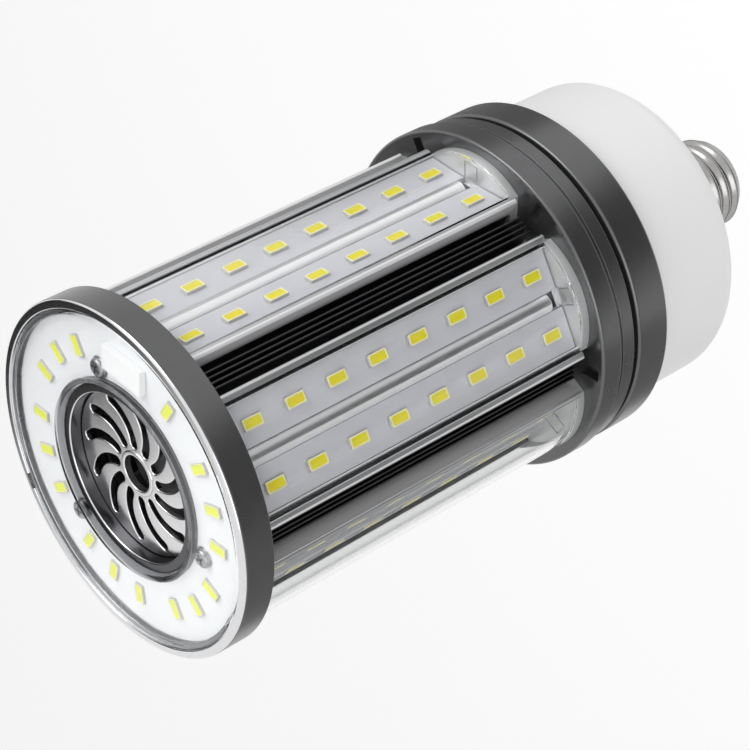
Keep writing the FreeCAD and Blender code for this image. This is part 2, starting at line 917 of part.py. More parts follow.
def driver_housing():
    """One moulding: neck, shallow dome, round shoulder, wall and clamping flange."""
    top = rear_ring_top
    shelf = top - housing_flange_height
    flange = housing_radius + housing_flange_width
    outside = housing_outline(0.0)
    inside = housing_outline(housing_wall)
    envelope = turned([(0, dome_bottom)] + outside + [
        (housing_radius, shelf), (flange, shelf), (flange, top), (0, top),
    ])
    hollow = turned([(0, inside[0][1])] + inside + [
        (housing_radius - housing_wall, top + 1), (0, top + 1),
    ])
    neck_low = shell_bottom + neck_above_foot
    shell = envelope.cut(hollow).fuse(disc(neck_radius, neck_low, dome_bottom + 1))
    seat = housing_screw_seat()
    web_bottom = collar_top - collar_web_thickness
    posts = []
    holes = [disc(neck_radius - neck_wall, neck_low - 1, inside[0][1] + 1)]
    for x, y in housing_screw_places():
        cup_radius = housing_recess_radius + housing_recess_wall
        cup = disc(cup_radius, dome_bottom, seat + housing_recess_floor, x, y)
        posts.append(cup.common(envelope))
        posts.append(disc(housing_boss_radius, seat, web_bottom, x, y))
        holes.append(disc(screw_hole_radius, dome_bottom, collar_top, x, y))
        holes.append(disc(housing_recess_radius, dome_bottom, seat, x, y))
    edge = driver_width / 2
    face = driver_thickness / 2 + seat_clearance
    low = driver_bottom() - seat_clearance
    for turn in (0, 180):
        rail = block(
            edge - rail_overlap, housing_radius - 0.2,
            -face - rail_thickness, face + rail_thickness,
            low - rail_foot, low + rail_length,
        )
        slot = block(0, edge + seat_clearance, -face, face, low, low + rail_length + 1)
        posts.append(spun(rail.cut(slot), turn).common(envelope))
    shell = shell.fuse(posts)
    return shell.cut(holes).removeSplitter()


def housing_screws():
    """Long screws from the recesses of the shoulder up into the collar."""
    seat = housing_screw_seat()
    length = collar_top - 1.5 - seat
    screws = []
    for x, y in housing_screw_places():
        screw = pan_screw(x, y, 0, length)
        screw.rotate(V(x, y, 0), V(1, 0, 0), 180)
        screw.translate(V(0, 0, seat))
        screws.append(screw)
    return Part.makeCompound(screws)


def driver_bottom():
    return shoulder_z - 1.0 + seat_clearance


def driver_board():
    half = driver_width / 2
    low = driver_bottom()
    face = driver_thickness / 2
    return block(-half, half, -face, face, low, low + driver_height)


def driver_transformer():
    """Two core blocks with a narrower wound band between them."""
    x, y, z = transformer_size
    across, up = transformer_place
    face = driver_thickness / 2
    low = driver_bottom() + up
    left, right = across - x / 2, across + x / 2
    waist = transformer_waist
    core = block(left, right, face, face + y, low, low + z * 0.3)
    top = block(left, right, face, face + y, low + z * 0.7, low + z)
    band = block(left + waist, right - waist, face, face + y - waist, low + z * 0.3, low + z * 0.7)
    return core.fuse([top, band]).removeSplitter()


def driver_capacitors():
    """Two cans that lie out from the board."""
    face = driver_thickness / 2
    cans = []
    for x, z in capacitor_places:
        foot = V(x, face, driver_bottom() + z)
        can = Part.makeCylinder(capacitor_radius, capacitor_length, foot, V(0, 1, 0))
        ends = [e for e in can.Edges if e.BoundBox.YLength < capacitor_length / 2]
        cans.append(can.makeFillet(capacitor_edge, ends))
    return Part.makeCompound(cans)


def driver_choke():
    """A wound toroid on the other face of the board."""
    x, z = choke_place
    middle = V(x, -driver_thickness / 2, driver_bottom() + z)
    way = V(0, -1, 0)
    ring = Part.makeCylinder(choke_radius, choke_height, middle, way)
    return ring.cut(Part.makeCylinder(choke_radius * 0.4, choke_height + 1, middle, way))


def shell_profile(offset):
    """The rounded thread as rings, drawn in by an offset."""
    middle = (shell_crest_radius + shell_root_radius) / 2 - offset
    swing = (shell_crest_radius - shell_root_radius) / 2
    turns = int((shell_length - shell_rim_height - 4.0) / thread_pitch)
    start = shell_bottom + 1.4
    points = []
    for step in range(turns * 8 + 1):
        phase = 2 * math.pi * step / 8
        points.append((middle - swing * math.cos(phase), start + thread_pitch * step / 8))
    return points


def screw_shell():
    """A thin rolled shell, turned in at its foot and flared at its rim."""
    rim_low = shell_top - shell_rim_height
    outside = shell_profile(0.0)
    inside = shell_profile(shell_wall)
    profile = [(insulator_top_radius, shell_bottom)]
    profile += [(shell_root_radius - 0.7, shell_bottom)]
    profile += outside
    profile += [
        (shell_root_radius, rim_low - 0.8),
        (shell_rim_radius, rim_low),
        (shell_rim_radius, shell_top),
        (neck_radius + seat_clearance, shell_top),
        (neck_radius + seat_clearance, rim_low - 0.8),
    ]
    profile += list(reversed(inside))
    profile += [(shell_root_radius - shell_wall - 0.4, shell_bottom + shell_wall)]
    profile += [(insulator_top_radius, shell_bottom + shell_wall)]
    return turned(profile)


def base_insulator():
    """The dark glass cone between the shell and the centre contact."""
    profile = [
        (insulator_hole_radius, contact_height),
        (insulator_tip_radius, contact_height),
        (insulator_top_radius, shell_bottom),
        (insulator_top_radius, shell_bottom + shell_wall),
        (insulator_top_radius + 0.4, shell_bottom + shell_wall),
        (insulator_top_radius - 1.0, shell_bottom + 3.0),
        (insulator_hole_radius, shell_bottom + 3.0),
    ]
    return turned(profile)


def centre_contact():
    """A domed cap of brass on the insulator's tip."""
    profile = [
        (0, 0),
        (contact_radius * 0.45, 0),
        (contact_radius * 0.85, contact_height * 0.35),
        (contact_radius, contact_height * 0.75),
        (contact_radius, contact_height),
        (0, contact_height),
    ]
    return turned(profile)


def lead(points):
    """A wire of straight runs joined by round bends."""
    places = [V(p[0], p[1], p[2]) for p in points]
    edges = []
    start = places[0]
    for before, corner, after in zip(places, places[1:], places[2:]):
        back = (before - corner).normalize()
        on = (after - corner).normalize()
        half = back.getAngle(on) / 2
        reach = lead_bend / math.tan(half)
        enter = corner + back * reach
        leave = corner + on * reach
        bisector = (back + on).normalize()
        top = corner + bisector * (lead_bend / math.sin(half) - lead_bend)
        edges.append(Part.makeLine(start, enter))
        edges.append(Part.Arc(enter, top, leave).toShape())
        start = leave
    edges.append(Part.makeLine(start, places[-1]))
    path = Part.Wire(edges)
    way = places[1] - places[0]
    section = Part.Wire(Part.makeCircle(lead_radius, places[0], way))
    return path.makePipeShell([section], True, True)


def contact_lead():
    """From the centre contact straight up to the driver board."""
    return disc(lead_radius, contact_height, driver_bottom())


def shell_lead():
    """From the shell's inner wall over the neck to the driver board."""
    wall = neck_radius - neck_wall - lead_radius - 0.4
    low = shell_bottom + 5.0
    return disc(lead_radius, low, driver_bottom(), wall, 0)


def supply_lead():
    """From the driver board's face up through a hollow of the heat sink to the connector."""
    x, y = supply_lead_place()
    joint = driver_bottom() + driver_height - lead_below_edge
    return lead([(x, y, board_top + 1.0), (x, y, joint), (x, driver_thickness / 2, joint)])


def fan_lead():
    """Down the duct from the fan's frame to the driver board's top edge."""
    across = (fan_duct_radius + fan_width / 2) / 2
    return disc(fan_lead_radius, driver_bottom() + driver_height, fan_bottom, across, 0)


save("end_ring", end_ring())
save("front_cover", front_cover())
save("front_board", front_board())
save("front_leds", front_leds())
save("board_connector", board_connector())
save("board_screws", board_screws())
save("vent_bezel", vent_bezel())
save("vent_grille", vent_grille())
save("fan_frame", fan_frame())
save("fan_bearing", fan_bearing())
save("fan_circuit", fan_circuit())
save("fan_stator", fan_stator())
save("fan_rotor", fan_rotor())
save("fan_magnet", fan_magnet())
save("fan_shaft", fan_shaft())
save("fan_screws", fan_screws())
save("heat_sink", heat_sink())
for number, strip in enumerate(side_strips(), 1):
    save("side_strip_%02d" % number, strip)
for number, group in enumerate(side_leds(), 1):
    save("side_leds_%d" % number, group)
for number, cover in enumerate(side_covers(), 1):
    save("side_cover_%d" % number, cover)
save("end_plate", end_plate())
save("collar", collar())
save("collar_screws", collar_screws())
save("collar_gasket", collar_gasket())
save("rear_ring", rear_ring())
save("driver_housing", driver_housing())
save("housing_screws", housing_screws())
save("driver_board", driver_board())
save("driver_transformer", driver_transformer())
save("driver_capacitors", driver_capacitors())
save("driver_choke", driver_choke())
save("screw_shell", screw_shell())
save("base_insulator", base_insulator())
save("centre_contact", centre_contact())
save("contact_lead", contact_lead())
save("shell_lead", shell_lead())
save("supply_lead", supply_lead())
save("fan_lead", fan_lead())
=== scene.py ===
import bmesh
import bpy
import math
from mathutils import Matrix, Vector


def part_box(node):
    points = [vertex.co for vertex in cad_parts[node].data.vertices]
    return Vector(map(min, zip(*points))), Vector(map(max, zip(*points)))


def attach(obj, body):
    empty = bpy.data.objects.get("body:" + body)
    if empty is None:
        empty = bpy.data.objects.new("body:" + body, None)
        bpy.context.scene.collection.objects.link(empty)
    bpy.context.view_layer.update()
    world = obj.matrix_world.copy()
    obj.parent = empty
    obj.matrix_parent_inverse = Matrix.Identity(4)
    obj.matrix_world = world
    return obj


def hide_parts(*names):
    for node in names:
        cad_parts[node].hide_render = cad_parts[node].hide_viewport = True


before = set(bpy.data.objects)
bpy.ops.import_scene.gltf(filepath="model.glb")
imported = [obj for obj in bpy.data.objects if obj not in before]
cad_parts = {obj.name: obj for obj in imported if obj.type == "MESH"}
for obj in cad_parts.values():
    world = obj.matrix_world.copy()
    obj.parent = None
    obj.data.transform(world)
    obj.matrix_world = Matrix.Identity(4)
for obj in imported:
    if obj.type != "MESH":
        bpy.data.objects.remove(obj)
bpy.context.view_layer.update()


# The studio
# A plain pale floor far below the lamp, which its socket holds up, and a white surround.
# Two soft lamps give the plain light, and a dark and a grey card, bent round it, show in its metal.
def glow(name, place, aim, width, height, power):
    light = bpy.data.lights.new(name, "AREA")
    light.shape = "RECTANGLE"
    light.size = width
    light.size_y = height
    light.energy = power
    lamp = bpy.data.objects.new(name, light)
    bpy.context.scene.collection.objects.link(lamp)
    lamp.location = place
    lamp.rotation_euler = (Vector(aim) - Vector(place)).to_track_quat("-Z", "Y").to_euler()


def sheet(name, points, faces, material):
    mesh = bpy.data.meshes.new(name)
    mesh.from_pydata(points, [], faces)
    mesh.materials.append(material)
    piece = bpy.data.objects.new(name, mesh)
    bpy.context.scene.collection.objects.link(piece)


def plain_matt(name, shade):
    """A matt paint with a faint mottle, for the floor and the boards."""
    material = bpy.data.materials.new(name)
    material.use_nodes = True
    nodes, links = material.node_tree.nodes, material.node_tree.links
    shader = nodes["Principled BSDF"]
    shader.inputs["Roughness"].default_value = 0.9
    shader.inputs["Specular IOR Level"].default_value = 0.1
    mottle = nodes.new("ShaderNodeTexNoise")
    mottle.inputs["Scale"].default_value = 3.0
    tone = nodes.new("ShaderNodeMapRange")
    tone.inputs["To Min"].default_value = shade * 0.99
    tone.inputs["To Max"].default_value = shade
    links.new(mottle.outputs["Fac"], tone.inputs["Value"])
    links.new(tone.outputs["Result"], shader.inputs["Base Color"])
    return material


def seen_level(tree, others, shown):
    """One value for rays that look, mirror or pass through glass, and another for the rest."""
    rays = tree.nodes.new("ShaderNodeLightPath")
    look = tree.nodes.new("ShaderNodeMath")
    look.operation = "MAXIMUM"
    look_through = tree.nodes.new("ShaderNodeMath")
    look_through.operation = "MAXIMUM"
    level = tree.nodes.new("ShaderNodeMapRange")
    level.inputs["To Min"].default_value = others
    level.inputs["To Max"].default_value = shown
    tree.links.new(rays.outputs["Is Camera Ray"], look.inputs[0])
    tree.links.new(rays.outputs["Is Glossy Ray"], look.inputs[1])
    tree.links.new(look.outputs[0], look_through.inputs[0])
    tree.links.new(rays.outputs["Is Transmission Ray"], look_through.inputs[1])
    tree.links.new(look_through.outputs[0], level.inputs["Value"])
    return level.outputs["Result"]


floor_height = -0.9
floor_paint = plain_matt("floor_paint", 0.96)
floor_shader = floor_paint.node_tree.nodes["Principled BSDF"]
floor_shader.inputs["Emission Color"].default_value = (1, 1, 1, 1)
floor_glow = seen_level(floor_paint.node_tree, 0.0, 0.21)
floor_paint.node_tree.links.new(floor_glow, floor_shader.inputs["Emission Strength"])
floor_corners = [(x, y, floor_height) for x, y in ((-9, -9), (9, -9), (9, 9), (-9, 9))]
sheet("floor", floor_corners, [(0, 1, 2, 3)], floor_paint)


def mirror_only(material, axis, faint, full):
    """Lets a card show in metal alone, where it fades out between two values of one axis."""
    nodes, links = material.node_tree.nodes, material.node_tree.links
    rays = nodes.new("ShaderNodeLightPath")
    through = nodes.new("ShaderNodeBsdfTransparent")
    choose = nodes.new("ShaderNodeMixShader")
    place = nodes.new("ShaderNodeTexCoord")
    parts = nodes.new("ShaderNodeSeparateXYZ")
    fade = nodes.new("ShaderNodeMapRange")
    fade.interpolation_type = "SMOOTHSTEP"
    fade.inputs["From Min"].default_value = faint
    fade.inputs["From Max"].default_value = full
    both = nodes.new("ShaderNodeMath")
    both.operation = "MULTIPLY"
    links.new(place.outputs["Object"], parts.inputs["Vector"])
    links.new(parts.outputs[axis], fade.inputs["Value"])
    links.new(fade.outputs["Result"], both.inputs[0])
    links.new(rays.outputs["Is Glossy Ray"], both.inputs[1])
    links.new(both.outputs[0], choose.inputs["Fac"])
    links.new(through.outputs["BSDF"], choose.inputs[1])
    links.new(nodes["Principled BSDF"].outputs["BSDF"], choose.inputs[2])
    links.new(choose.outputs["Shader"], nodes["Material Output"].inputs["Surface"])
    return material


def bent_card(name, radius, levels, shade, axis, faint, full):
    """A matt card bent round the lamp, from its heights and the first and last turn at each."""
    steps = 24
    points = []
    for height, first, last in levels:
        for k in range(steps + 1):
            turn = math.radians(first + (last - first) * k / steps)
            points.append((radius * math.cos(turn), radius * math.sin(turn), height))
    faces = []
    for row in range(len(levels) - 1):
        for k in range(steps):
            corner = (steps + 1) * row + k
            faces.append((corner, corner + 1, corner + steps + 2, corner + steps + 1))
    sheet(name, points, faces, mirror_only(plain_matt(name + "_paint", shade), axis, faint, full))


dark_edges = [(-0.85, 5, 72), (-0.55, -16, 48), (-0.20, -50, 20), (-0.04, -60, 2)]
bent_card("dark_card", 0.75, dark_edges, 0.04, "Z", 0.0, -0.1)
bent_card("grey_card", 0.90, [(-0.88, 100, 190), (-0.30, 100, 190)], 0.30, "Z", -0.30, -0.52)
bent_card("far_card", 0.95, [(-0.88, -124, -52), (-0.05, -124, -52)], 0.42, "Z", -0.05, -0.25)
bent_card("high_card", 0.24, [(0.24, 135, 200), (0.50, 135, 200)], 0.03, "Y", -0.088, 0.0)

world = bpy.data.worlds.new("white_surround")
bpy.context.scene.world = world
world.use_nodes = True
surround = world.node_tree.nodes["Background"]
surround.inputs["Color"].default_value = (1, 1, 1, 1)
world.node_tree.links.new(seen_level(world.node_tree, 0.70, 0.96), surround.inputs["Strength"])

glow("key", (0.15, 1.15, 1.00), (0, 0, 0.12), 0.9, 0.9, 8.8)
glow("fill", (1.10, -0.45, 0.90), (0, 0, 0.12), 0.9, 0.9, 4.0)

bpy.context.scene.view_settings.view_transform = "Standard"
lens = bpy.data.cameras.new("camera")
lens.sensor_width = 36.0
lens.lens = 120.08
lens.clip_start = 0.01
camera = bpy.data.objects.new("camera", lens)
bpy.context.scene.collection.objects.link(camera)
camera.location = (0.52043, 0.12658, 0.48760)
camera.rotation_euler = [math.radians(turn) for turn in (-35.2407, 47.9527, -29.3245)]
bpy.context.scene.camera = camera


# End ring
# A dark lacquered aluminium ring that holds the lit end together, with bright metal painted on its lip as a highlight
# and inside its lip as a reflection of the white board.
# Its skirt drops over the ends of the heat sink, and its web carries the front board.
def finish(name, light, dark, metal=0.0, rough=(0.3, 0.4), grain=2.0, stretch=(1, 1, 1), bump=0.0):
    """A material mottled between two colours, with its roughness and bump from the same grain in mm."""
    material = bpy.data.materials.new(name)
    material.use_nodes = True
    nodes, links = material.node_tree.nodes, material.node_tree.links
    shader = nodes["Principled BSDF"]
    shader.inputs["Metallic"].default_value = metal
    place = nodes.new("ShaderNodeTexCoord")
    stretched = nodes.new("ShaderNodeMapping")
    stretched.inputs["Scale"].default_value = stretch
    noise = nodes.new("ShaderNodeTexNoise")
    noise.inputs["Scale"].default_value = 1000.0 / grain
    noise.inputs["Detail"].default_value = 4.0
    links.new(place.outputs["Object"], stretched.inputs["Vector"])
    links.new(stretched.outputs["Vector"], noise.inputs["Vector"])
    tint = nodes.new("ShaderNodeMix")
    tint.data_type = "RGBA"
    tint.inputs["A"].default_value = (*dark, 1)
    tint.inputs["B"].default_value = (*light, 1)
    links.new(noise.outputs["Fac"], tint.inputs["Factor"])
    links.new(tint.outputs["Result"], shader.inputs["Base Color"])
    gloss = nodes.new("ShaderNodeMapRange")
    gloss.inputs["To Min"].default_value = rough[0]
    gloss.inputs["To Max"].default_value = rough[1]
    links.new(noise.outputs["Fac"], gloss.inputs["Value"])
    links.new(gloss.outputs["Result"], shader.inputs["Roughness"])
    if bump:
        relief = nodes.new("ShaderNodeBump")
        relief.inputs["Strength"].default_value = 1.0
        relief.inputs["Distance"].default_value = bump / 1000.0
        links.new(noise.outputs["Fac"], relief.inputs["Height"])
        links.new(relief.outputs["Normal"], shader.inputs["Normal"])
    return material


def heights(node):
    """Bottom and top of a piece, in millimetres."""
    low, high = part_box(node)
    return low.z * 1000, high.z * 1000


def rounded(corners, steps=4):
    """An outline whose corners (x, y, radius) are rounded, or left sharp where no radius is given."""
    line = []
    for i, corner in enumerate(corners):
        here = Vector(corner[:2])
        if len(corner) < 3:
            line.append(here)
            continue
        back = Vector(corners[i - 1][:2]) - here
        on = Vector(corners[(i + 1) % len(corners)][:2]) - here
        half = back.angle(on) / 2
        reach = min(corner[2] / math.tan(half), back.length * 0.49, on.length * 0.49)
        radius = reach * math.tan(half)
        middle = here + (back.normalized() + on.normalized()).normalized() * radius / math.sin(half)
        start = here + back.normalized() * reach - middle
        end = here + on.normalized() * reach - middle
        for k in range(steps + 1):
            line.append(middle + start.lerp(end, k / steps).normalized() * radius)
    return line


def smoothed(piece, sharp):
    """Smooth shading that keeps large faces flat and stops at sharp edges."""
    piece.data.shade_smooth()
    piece.data.set_sharp_from_angle(angle=math.radians(sharp))
    weigh = piece.modifiers.new("flat_faces", "WEIGHTED_NORMAL")
    weigh.keep_sharp = True
    return piece


def made(name, shape, materials, sharp=32):
    """The finished shape as an object with its materials."""
    bmesh.ops.remove_doubles(shape, verts=shape.verts, dist=1e-7)
    bmesh.ops.delete(shape, geom=[edge for edge in shape.edges if not edge.link_faces], context="EDGES")
    bmesh.ops.recalc_face_normals(shape, faces=shape.faces)
    mesh = bpy.data.meshes.new(name)
    shape.to_mesh(mesh)
    shape.free()
    for material in materials:
        mesh.materials.append(material)
    piece = bpy.data.objects.new(name, mesh)
    bpy.context.scene.collection.objects.link(piece)
    return smoothed(piece, sharp)


def turned(outline, steps=192, wave=None):
    """A closed outline of (radius, height) in mm turned on the lamp's axis; wave moves points as they turn."""
    shape = bmesh.new()
    rings = []
    for k in range(steps):
        angle = 2 * math.pi * k / steps
        ring = []
        for i, (r, z) in enumerate(outline):
            if wave:
                r, z = wave(angle, i, r, z)
            ring.append(shape.verts.new((r * math.cos(angle) / 1000, r * math.sin(angle) / 1000, z / 1000)))
        rings.append(ring)
    for k in range(steps):
        one, two = rings[k], rings[(k + 1) % steps]
        for i in range(len(outline)):
            j = (i + 1) % len(outline)
            shape.faces.new((one[i], two[i], two[j], one[j]))
    return shape


def paint_where(piece, number, test):
    """Gives a second material to the faces whose middle (radius, height in mm) and normal pass the test."""
    for face in piece.data.polygons:
        middle = face.center * 1000
        if test(math.hypot(middle.x, middle.y), middle.z, face.normal):
            face.material_index = number


def fit(piece, body, slot, *nodes):
    """Fixes a finished piece to the part of the lamp that it moves with."""
    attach(piece, body)
    if nodes:
        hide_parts(*nodes)


def cut_out(piece, cutter):
    """Takes one shape out of another and keeps the result as its mesh."""
    tool = bpy.data.objects.new("cutter", bpy.data.meshes.new("cutter"))
    cutter.to_mesh(tool.data)
    cutter.free()
    bpy.context.scene.collection.objects.link(tool)
    piece.modifiers.clear()
    step = piece.modifiers.new("cut", "BOOLEAN")
    step.operation = "DIFFERENCE"
    step.solver = "EXACT"
    step.use_self = True
    step.object = tool
    ready = bpy.data.meshes.new_from_object(piece.evaluated_get(bpy.context.evaluated_depsgraph_get()))
    piece.modifiers.clear()
    piece.data = ready
    bpy.data.objects.remove(tool)
    smoothed(piece, 32)


def box_shape(shape, low, high, angle=0.0):
    """Adds a box from its limits in mm, turned about the lamp's axis."""
    size = [(b - a) / 1000 for a, b in zip(low, high)]
    centre = [(a + b) / 2000 for a, b in zip(low, high)]
    place = Matrix.Rotation(math.radians(angle), 4, "Z") @ Matrix.Translation(centre)
    return bmesh.ops.create_cube(shape, size=1.0, matrix=place @ Matrix.Diagonal((*size, 1.0)))["verts"]


grey_lacquer = finish("grey_lacquer", (0.144, 0.145, 0.148), (0.130, 0.131, 0.134),
                      0.85, (0.26, 0.30), 6.0)
# Bright metal painted where highlights and reflections show, on the lip of the end ring and the rim of the bezel.
painted_highlight_and_reflection = finish("painted_highlight_and_reflection_edge", (0.80, 0.80, 0.81), (0.70, 0.70, 0.71),
                     1.0, (0.12, 0.20), 0.8)

ring_radius = 47.0
skirt_inner = 45.3
lip_inner = 44.6
web_bore = 24.0
ring_low, ring_high = heights("end_ring")
web_top = heights("front_board")[0]
web_low = heights("heat_sink")[1]
reflection_paint_low = web_top + 2.7
ring = turned(rounded([
    (web_bore, web_low), (skirt_inner, web_low), (skirt_inner, ring_low), (ring_radius, ring_low, 0.25),
    (ring_radius, ring_high, 0.9), (lip_inner, ring_high, 0.3), (lip_inner, reflection_paint_low),
    (lip_inner, web_top), (web_bore, web_top),
], 6))
end_ring = made("end_ring", ring, [grey_lacquer, painted_highlight_and_reflection])
notches = bmesh.new()
for side in (0, 180):
    box_shape(notches, (lip_inner - 1, -2.1, ring_high - 0.9), (lip_inner + 0.7, 2.1, ring_high + 1), side)
cut_out(end_ring, notches)
# Painted highlight on the lip's top and round, and painted reflection of the white board on the top of its inner
# wall.
paint_where(end_ring, 1, lambda r, z, normal: r > lip_inner and z > ring_high - 0.7 and normal.z > 0.45)
paint_where(end_ring, 1, lambda r, z, normal: abs(r - lip_inner) < 0.4 and z > reflection_paint_low)
fit(end_ring, "lamp", "ring_paint", "end_ring")


# Front board
# A round aluminium board under white lacquer, lying on the web of the end ring.
# Three screws clamp it to the heat sink, each in a bare tinned ring.
white_lacquer = finish("white_board_lacquer", (0.90, 0.91, 0.93), (0.87, 0.88, 0.90),
                       0.0, (0.30, 0.40), 3.0, bump=0.002)
tin = finish("tinned_pad", (0.78, 0.78, 0.76), (0.62, 0.62, 0.60), 1.0, (0.25, 0.45), 0.7)
board_low, board_high = heights("front_board")
front_board = made("front_board", turned(rounded([
    (23.6, board_low), (44.3, board_low), (44.3, board_high, 0.15), (23.6, board_high, 0.15),
])), [white_lacquer])
fit(front_board, "lamp", "white_board", "front_board")

boss_circle = 29.4
screw_angles = (76.8, 196.8, 316.8)


def around(radius, angle):
    return radius * math.cos(math.radians(angle)), radius * math.sin(math.radians(angle))


def stood(outline, x, y, steps=32):
    """A closed outline turned about an upright line through x, y."""
    shape = turned(outline, steps)
    bmesh.ops.translate(shape, verts=shape.verts, vec=(x / 1000, y / 1000, 0))
    return shape


def joined(shapes):
    """Several shapes as one."""
    whole = bmesh.new()
    for shape in shapes:
        mesh = bpy.data.meshes.new("part")
        shape.to_mesh(mesh)
        shape.free()
        whole.from_mesh(mesh)
        bpy.data.meshes.remove(mesh)
    return whole


pad_top = board_high + 0.05
pad_line = [(1.7, board_high), (2.9, board_high), (2.9, pad_top), (1.7, pad_top)]
pads = [stood(pad_line, *around(boss_circle, angle)) for angle in screw_angles]
screw_pads = made("screw_pads", joined(pads), [tin])
fit(screw_pads, "lamp", "screw_steel")


# Board screws
# Three steel pan head screws with a cross recess, driven through the front board
# and the web of the ring into the bosses of the heat sink.
steel = finish("screw_steel", (0.46, 0.46, 0.47), (0.36, 0.36, 0.37), 1.0, (0.24, 0.36), 0.6)


def pan_screw(x, y, seat, length):
    """A pan head on its shank, with the recess cut after."""
    return stood(rounded([
        (0, seat - length), (1.2, seat - length), (1.45, seat - length + 0.6), (1.45, seat),
        (2.5, seat), (2.5, seat + 1.5, 1.1), (0, seat + 1.5),
    ]), x, y)


def cross_recess(shape, x, y, top, turn):
    for angle in (turn, turn + 90):
        place = Matrix.Translation((x / 1000, y / 1000, top / 1000)) @ Matrix.Rotation(math.radians(angle), 4, "Z")
        bmesh.ops.create_cube(shape, size=0.001, matrix=place @ Matrix.Diagonal((2.75, 0.65, 1.5, 1)))


screws = []
recess = bmesh.new()
for angle in screw_angles:
    x, y = around(boss_circle, angle)
    screws.append(pan_screw(x, y, board_high, 10.5))
    cross_recess(recess, x, y, board_high + 1.5, angle * 1.7)
board_screws = made("board_screws", joined(screws), [steel])
cut_out(board_screws, recess)
fit(board_screws, "lamp", "screw_steel", "board_screws")


# Board connector
# A low white moulded housing with rounded edges, soldered to the front board,
# in which the supply lead is clamped.
white_nylon = finish("white_nylon", (0.95, 0.95, 0.95), (0.92, 0.92, 0.92), 0.0, (0.35, 0.48), 1.2, bump=0.004)
connector_angle = 56.5
connector_low, connector_high = heights("board_connector")
connector = bmesh.new()
box_shape(connector, (-3.5, -7.25, connector_low), (3.5, 7.25, connector_high))
bmesh.ops.bevel(connector, geom=connector.edges[:], offset=0.00028, segments=3, profile=0.6, affect="EDGES")
place = Matrix.Rotation(math.radians(connector_angle), 4, "Z") @ Matrix.Translation((0.0335, 0, 0))
bmesh.ops.transform(connector, matrix=place, verts=connector.verts)
board_connector = made("board_connector", connector, [white_nylon])
fit(board_connector, "lamp", "connector", "board_connector")


# LEDs
# Each is a white package with a window of yellow phosphor, soldered on tinned pads; its lower walls are painted a
# darker grey as shade.
# Sixteen stand on the front board in groups of three, and eight on each side board.
package = finish("led_package", (0.80, 0.78, 0.50), (0.74, 0.72, 0.44), 0.0, (0.30, 0.40), 1.0)
# A darker grey for the package walls, painted as shade.
led_wall_painted_shade = finish("led_package_wall_painted_shade", (0.56, 0.55, 0.54), (0.48, 0.47, 0.46), 0.0, (0.40, 0.50), 1.0)
side_phosphor = finish("side_phosphor", (0.78, 0.56, 0.008), (0.66, 0.70, 0.006), 0.0, (0.5, 0.6), 3.2, bump=0.01)
front_phosphor = finish("front_phosphor", (0.86, 0.90, 0.10), (0.76, 0.84, 0.05), 0.0, (0.5, 0.6), 2.4, bump=0.01)


def add_led(shape, foot, along, out):
    """A 5.7 by 3.0 mm package: walls, rim and sunk window."""
    across = out.cross(along)

    def ring(length, width, height, ease):
        corners = rounded([(a * length / 2, b * width / 2, ease) for a, b in ((-1, -1), (1, -1), (1, 1), (-1, 1))], 2)
        return [shape.verts.new((foot + along * p.x + across * p.y + out * height) / 1000) for p in corners]

    rings = [ring(*level) for level in (
        (5.60, 2.90, 0.0, 0.2), (5.70, 3.00, 0.30, 0.3), (5.64, 2.94, 0.74, 0.3),
        (5.50, 2.80, 0.80, 0.3), (5.00, 2.30, 0.80, 0.4), (4.86, 2.16, 0.68, 0.4),
    )]
    for number, (one, two) in enumerate(zip(rings, rings[1:])):
        for i in range(len(one)):
            j = (i + 1) % len(one)
            face = shape.faces.new((one[i], one[j], two[j], two[i]))
            # The lower walls take the darker grey, painted as shade.
            face.material_index = 2 if number < 2 else 0
    window = shape.faces.new(rings[-1])
    window.material_index = 1
    shape.faces.new(list(reversed(rings[0])))


led_height = heights("front_leds")
front_angles = [46.8 + 60 * group + step for group in range(6) for step in (-17.44, 0, 17.44)]
front_angles = [angle for angle in front_angles if abs(angle - connector_angle) > 13]
front = bmesh.new()
for angle in front_angles:
    x, y = around(34.5, angle)
    add_led(front, Vector((x, y, led_height[0])), Vector((x, y, 0)).normalized(), Vector((0, 0, 1)))
front_leds = made("front_leds", front, [package, front_phosphor, led_wall_painted_shade])
fit(front_leds, "lamp", "phosphor", "front_leds")

seat = 37.0
strip_face = seat + 1.2
strip_middle = 7.675
leds_low, leds_high = heights("side_leds_1")
first_led = leds_low + 2.85
led_pitch = (leds_high - leds_low - 5.7) / 7


def on_side(r, w, angle):
    """A point of one side of the heat sink: r along its normal, w across it."""
    turn = math.radians(angle)
    return r * math.cos(turn) - w * math.sin(turn), r * math.sin(turn) + w * math.cos(turn)


for number in range(6):
    angle = 60 * number
    out = Vector((*around(1, angle), 0))
    leds = bmesh.new()
    for way in (-1, 1):
        x, y = on_side(strip_face, way * strip_middle, angle)
        for n in range(8):
            add_led(leds, Vector((x, y, first_led + led_pitch * n)), Vector((0, 0, 1)), out)
    node = "side_leds_%d" % (number + 1)
    fit(made(node, leds, [package, side_phosphor, led_wall_painted_shade]), "lamp", "phosphor", node)


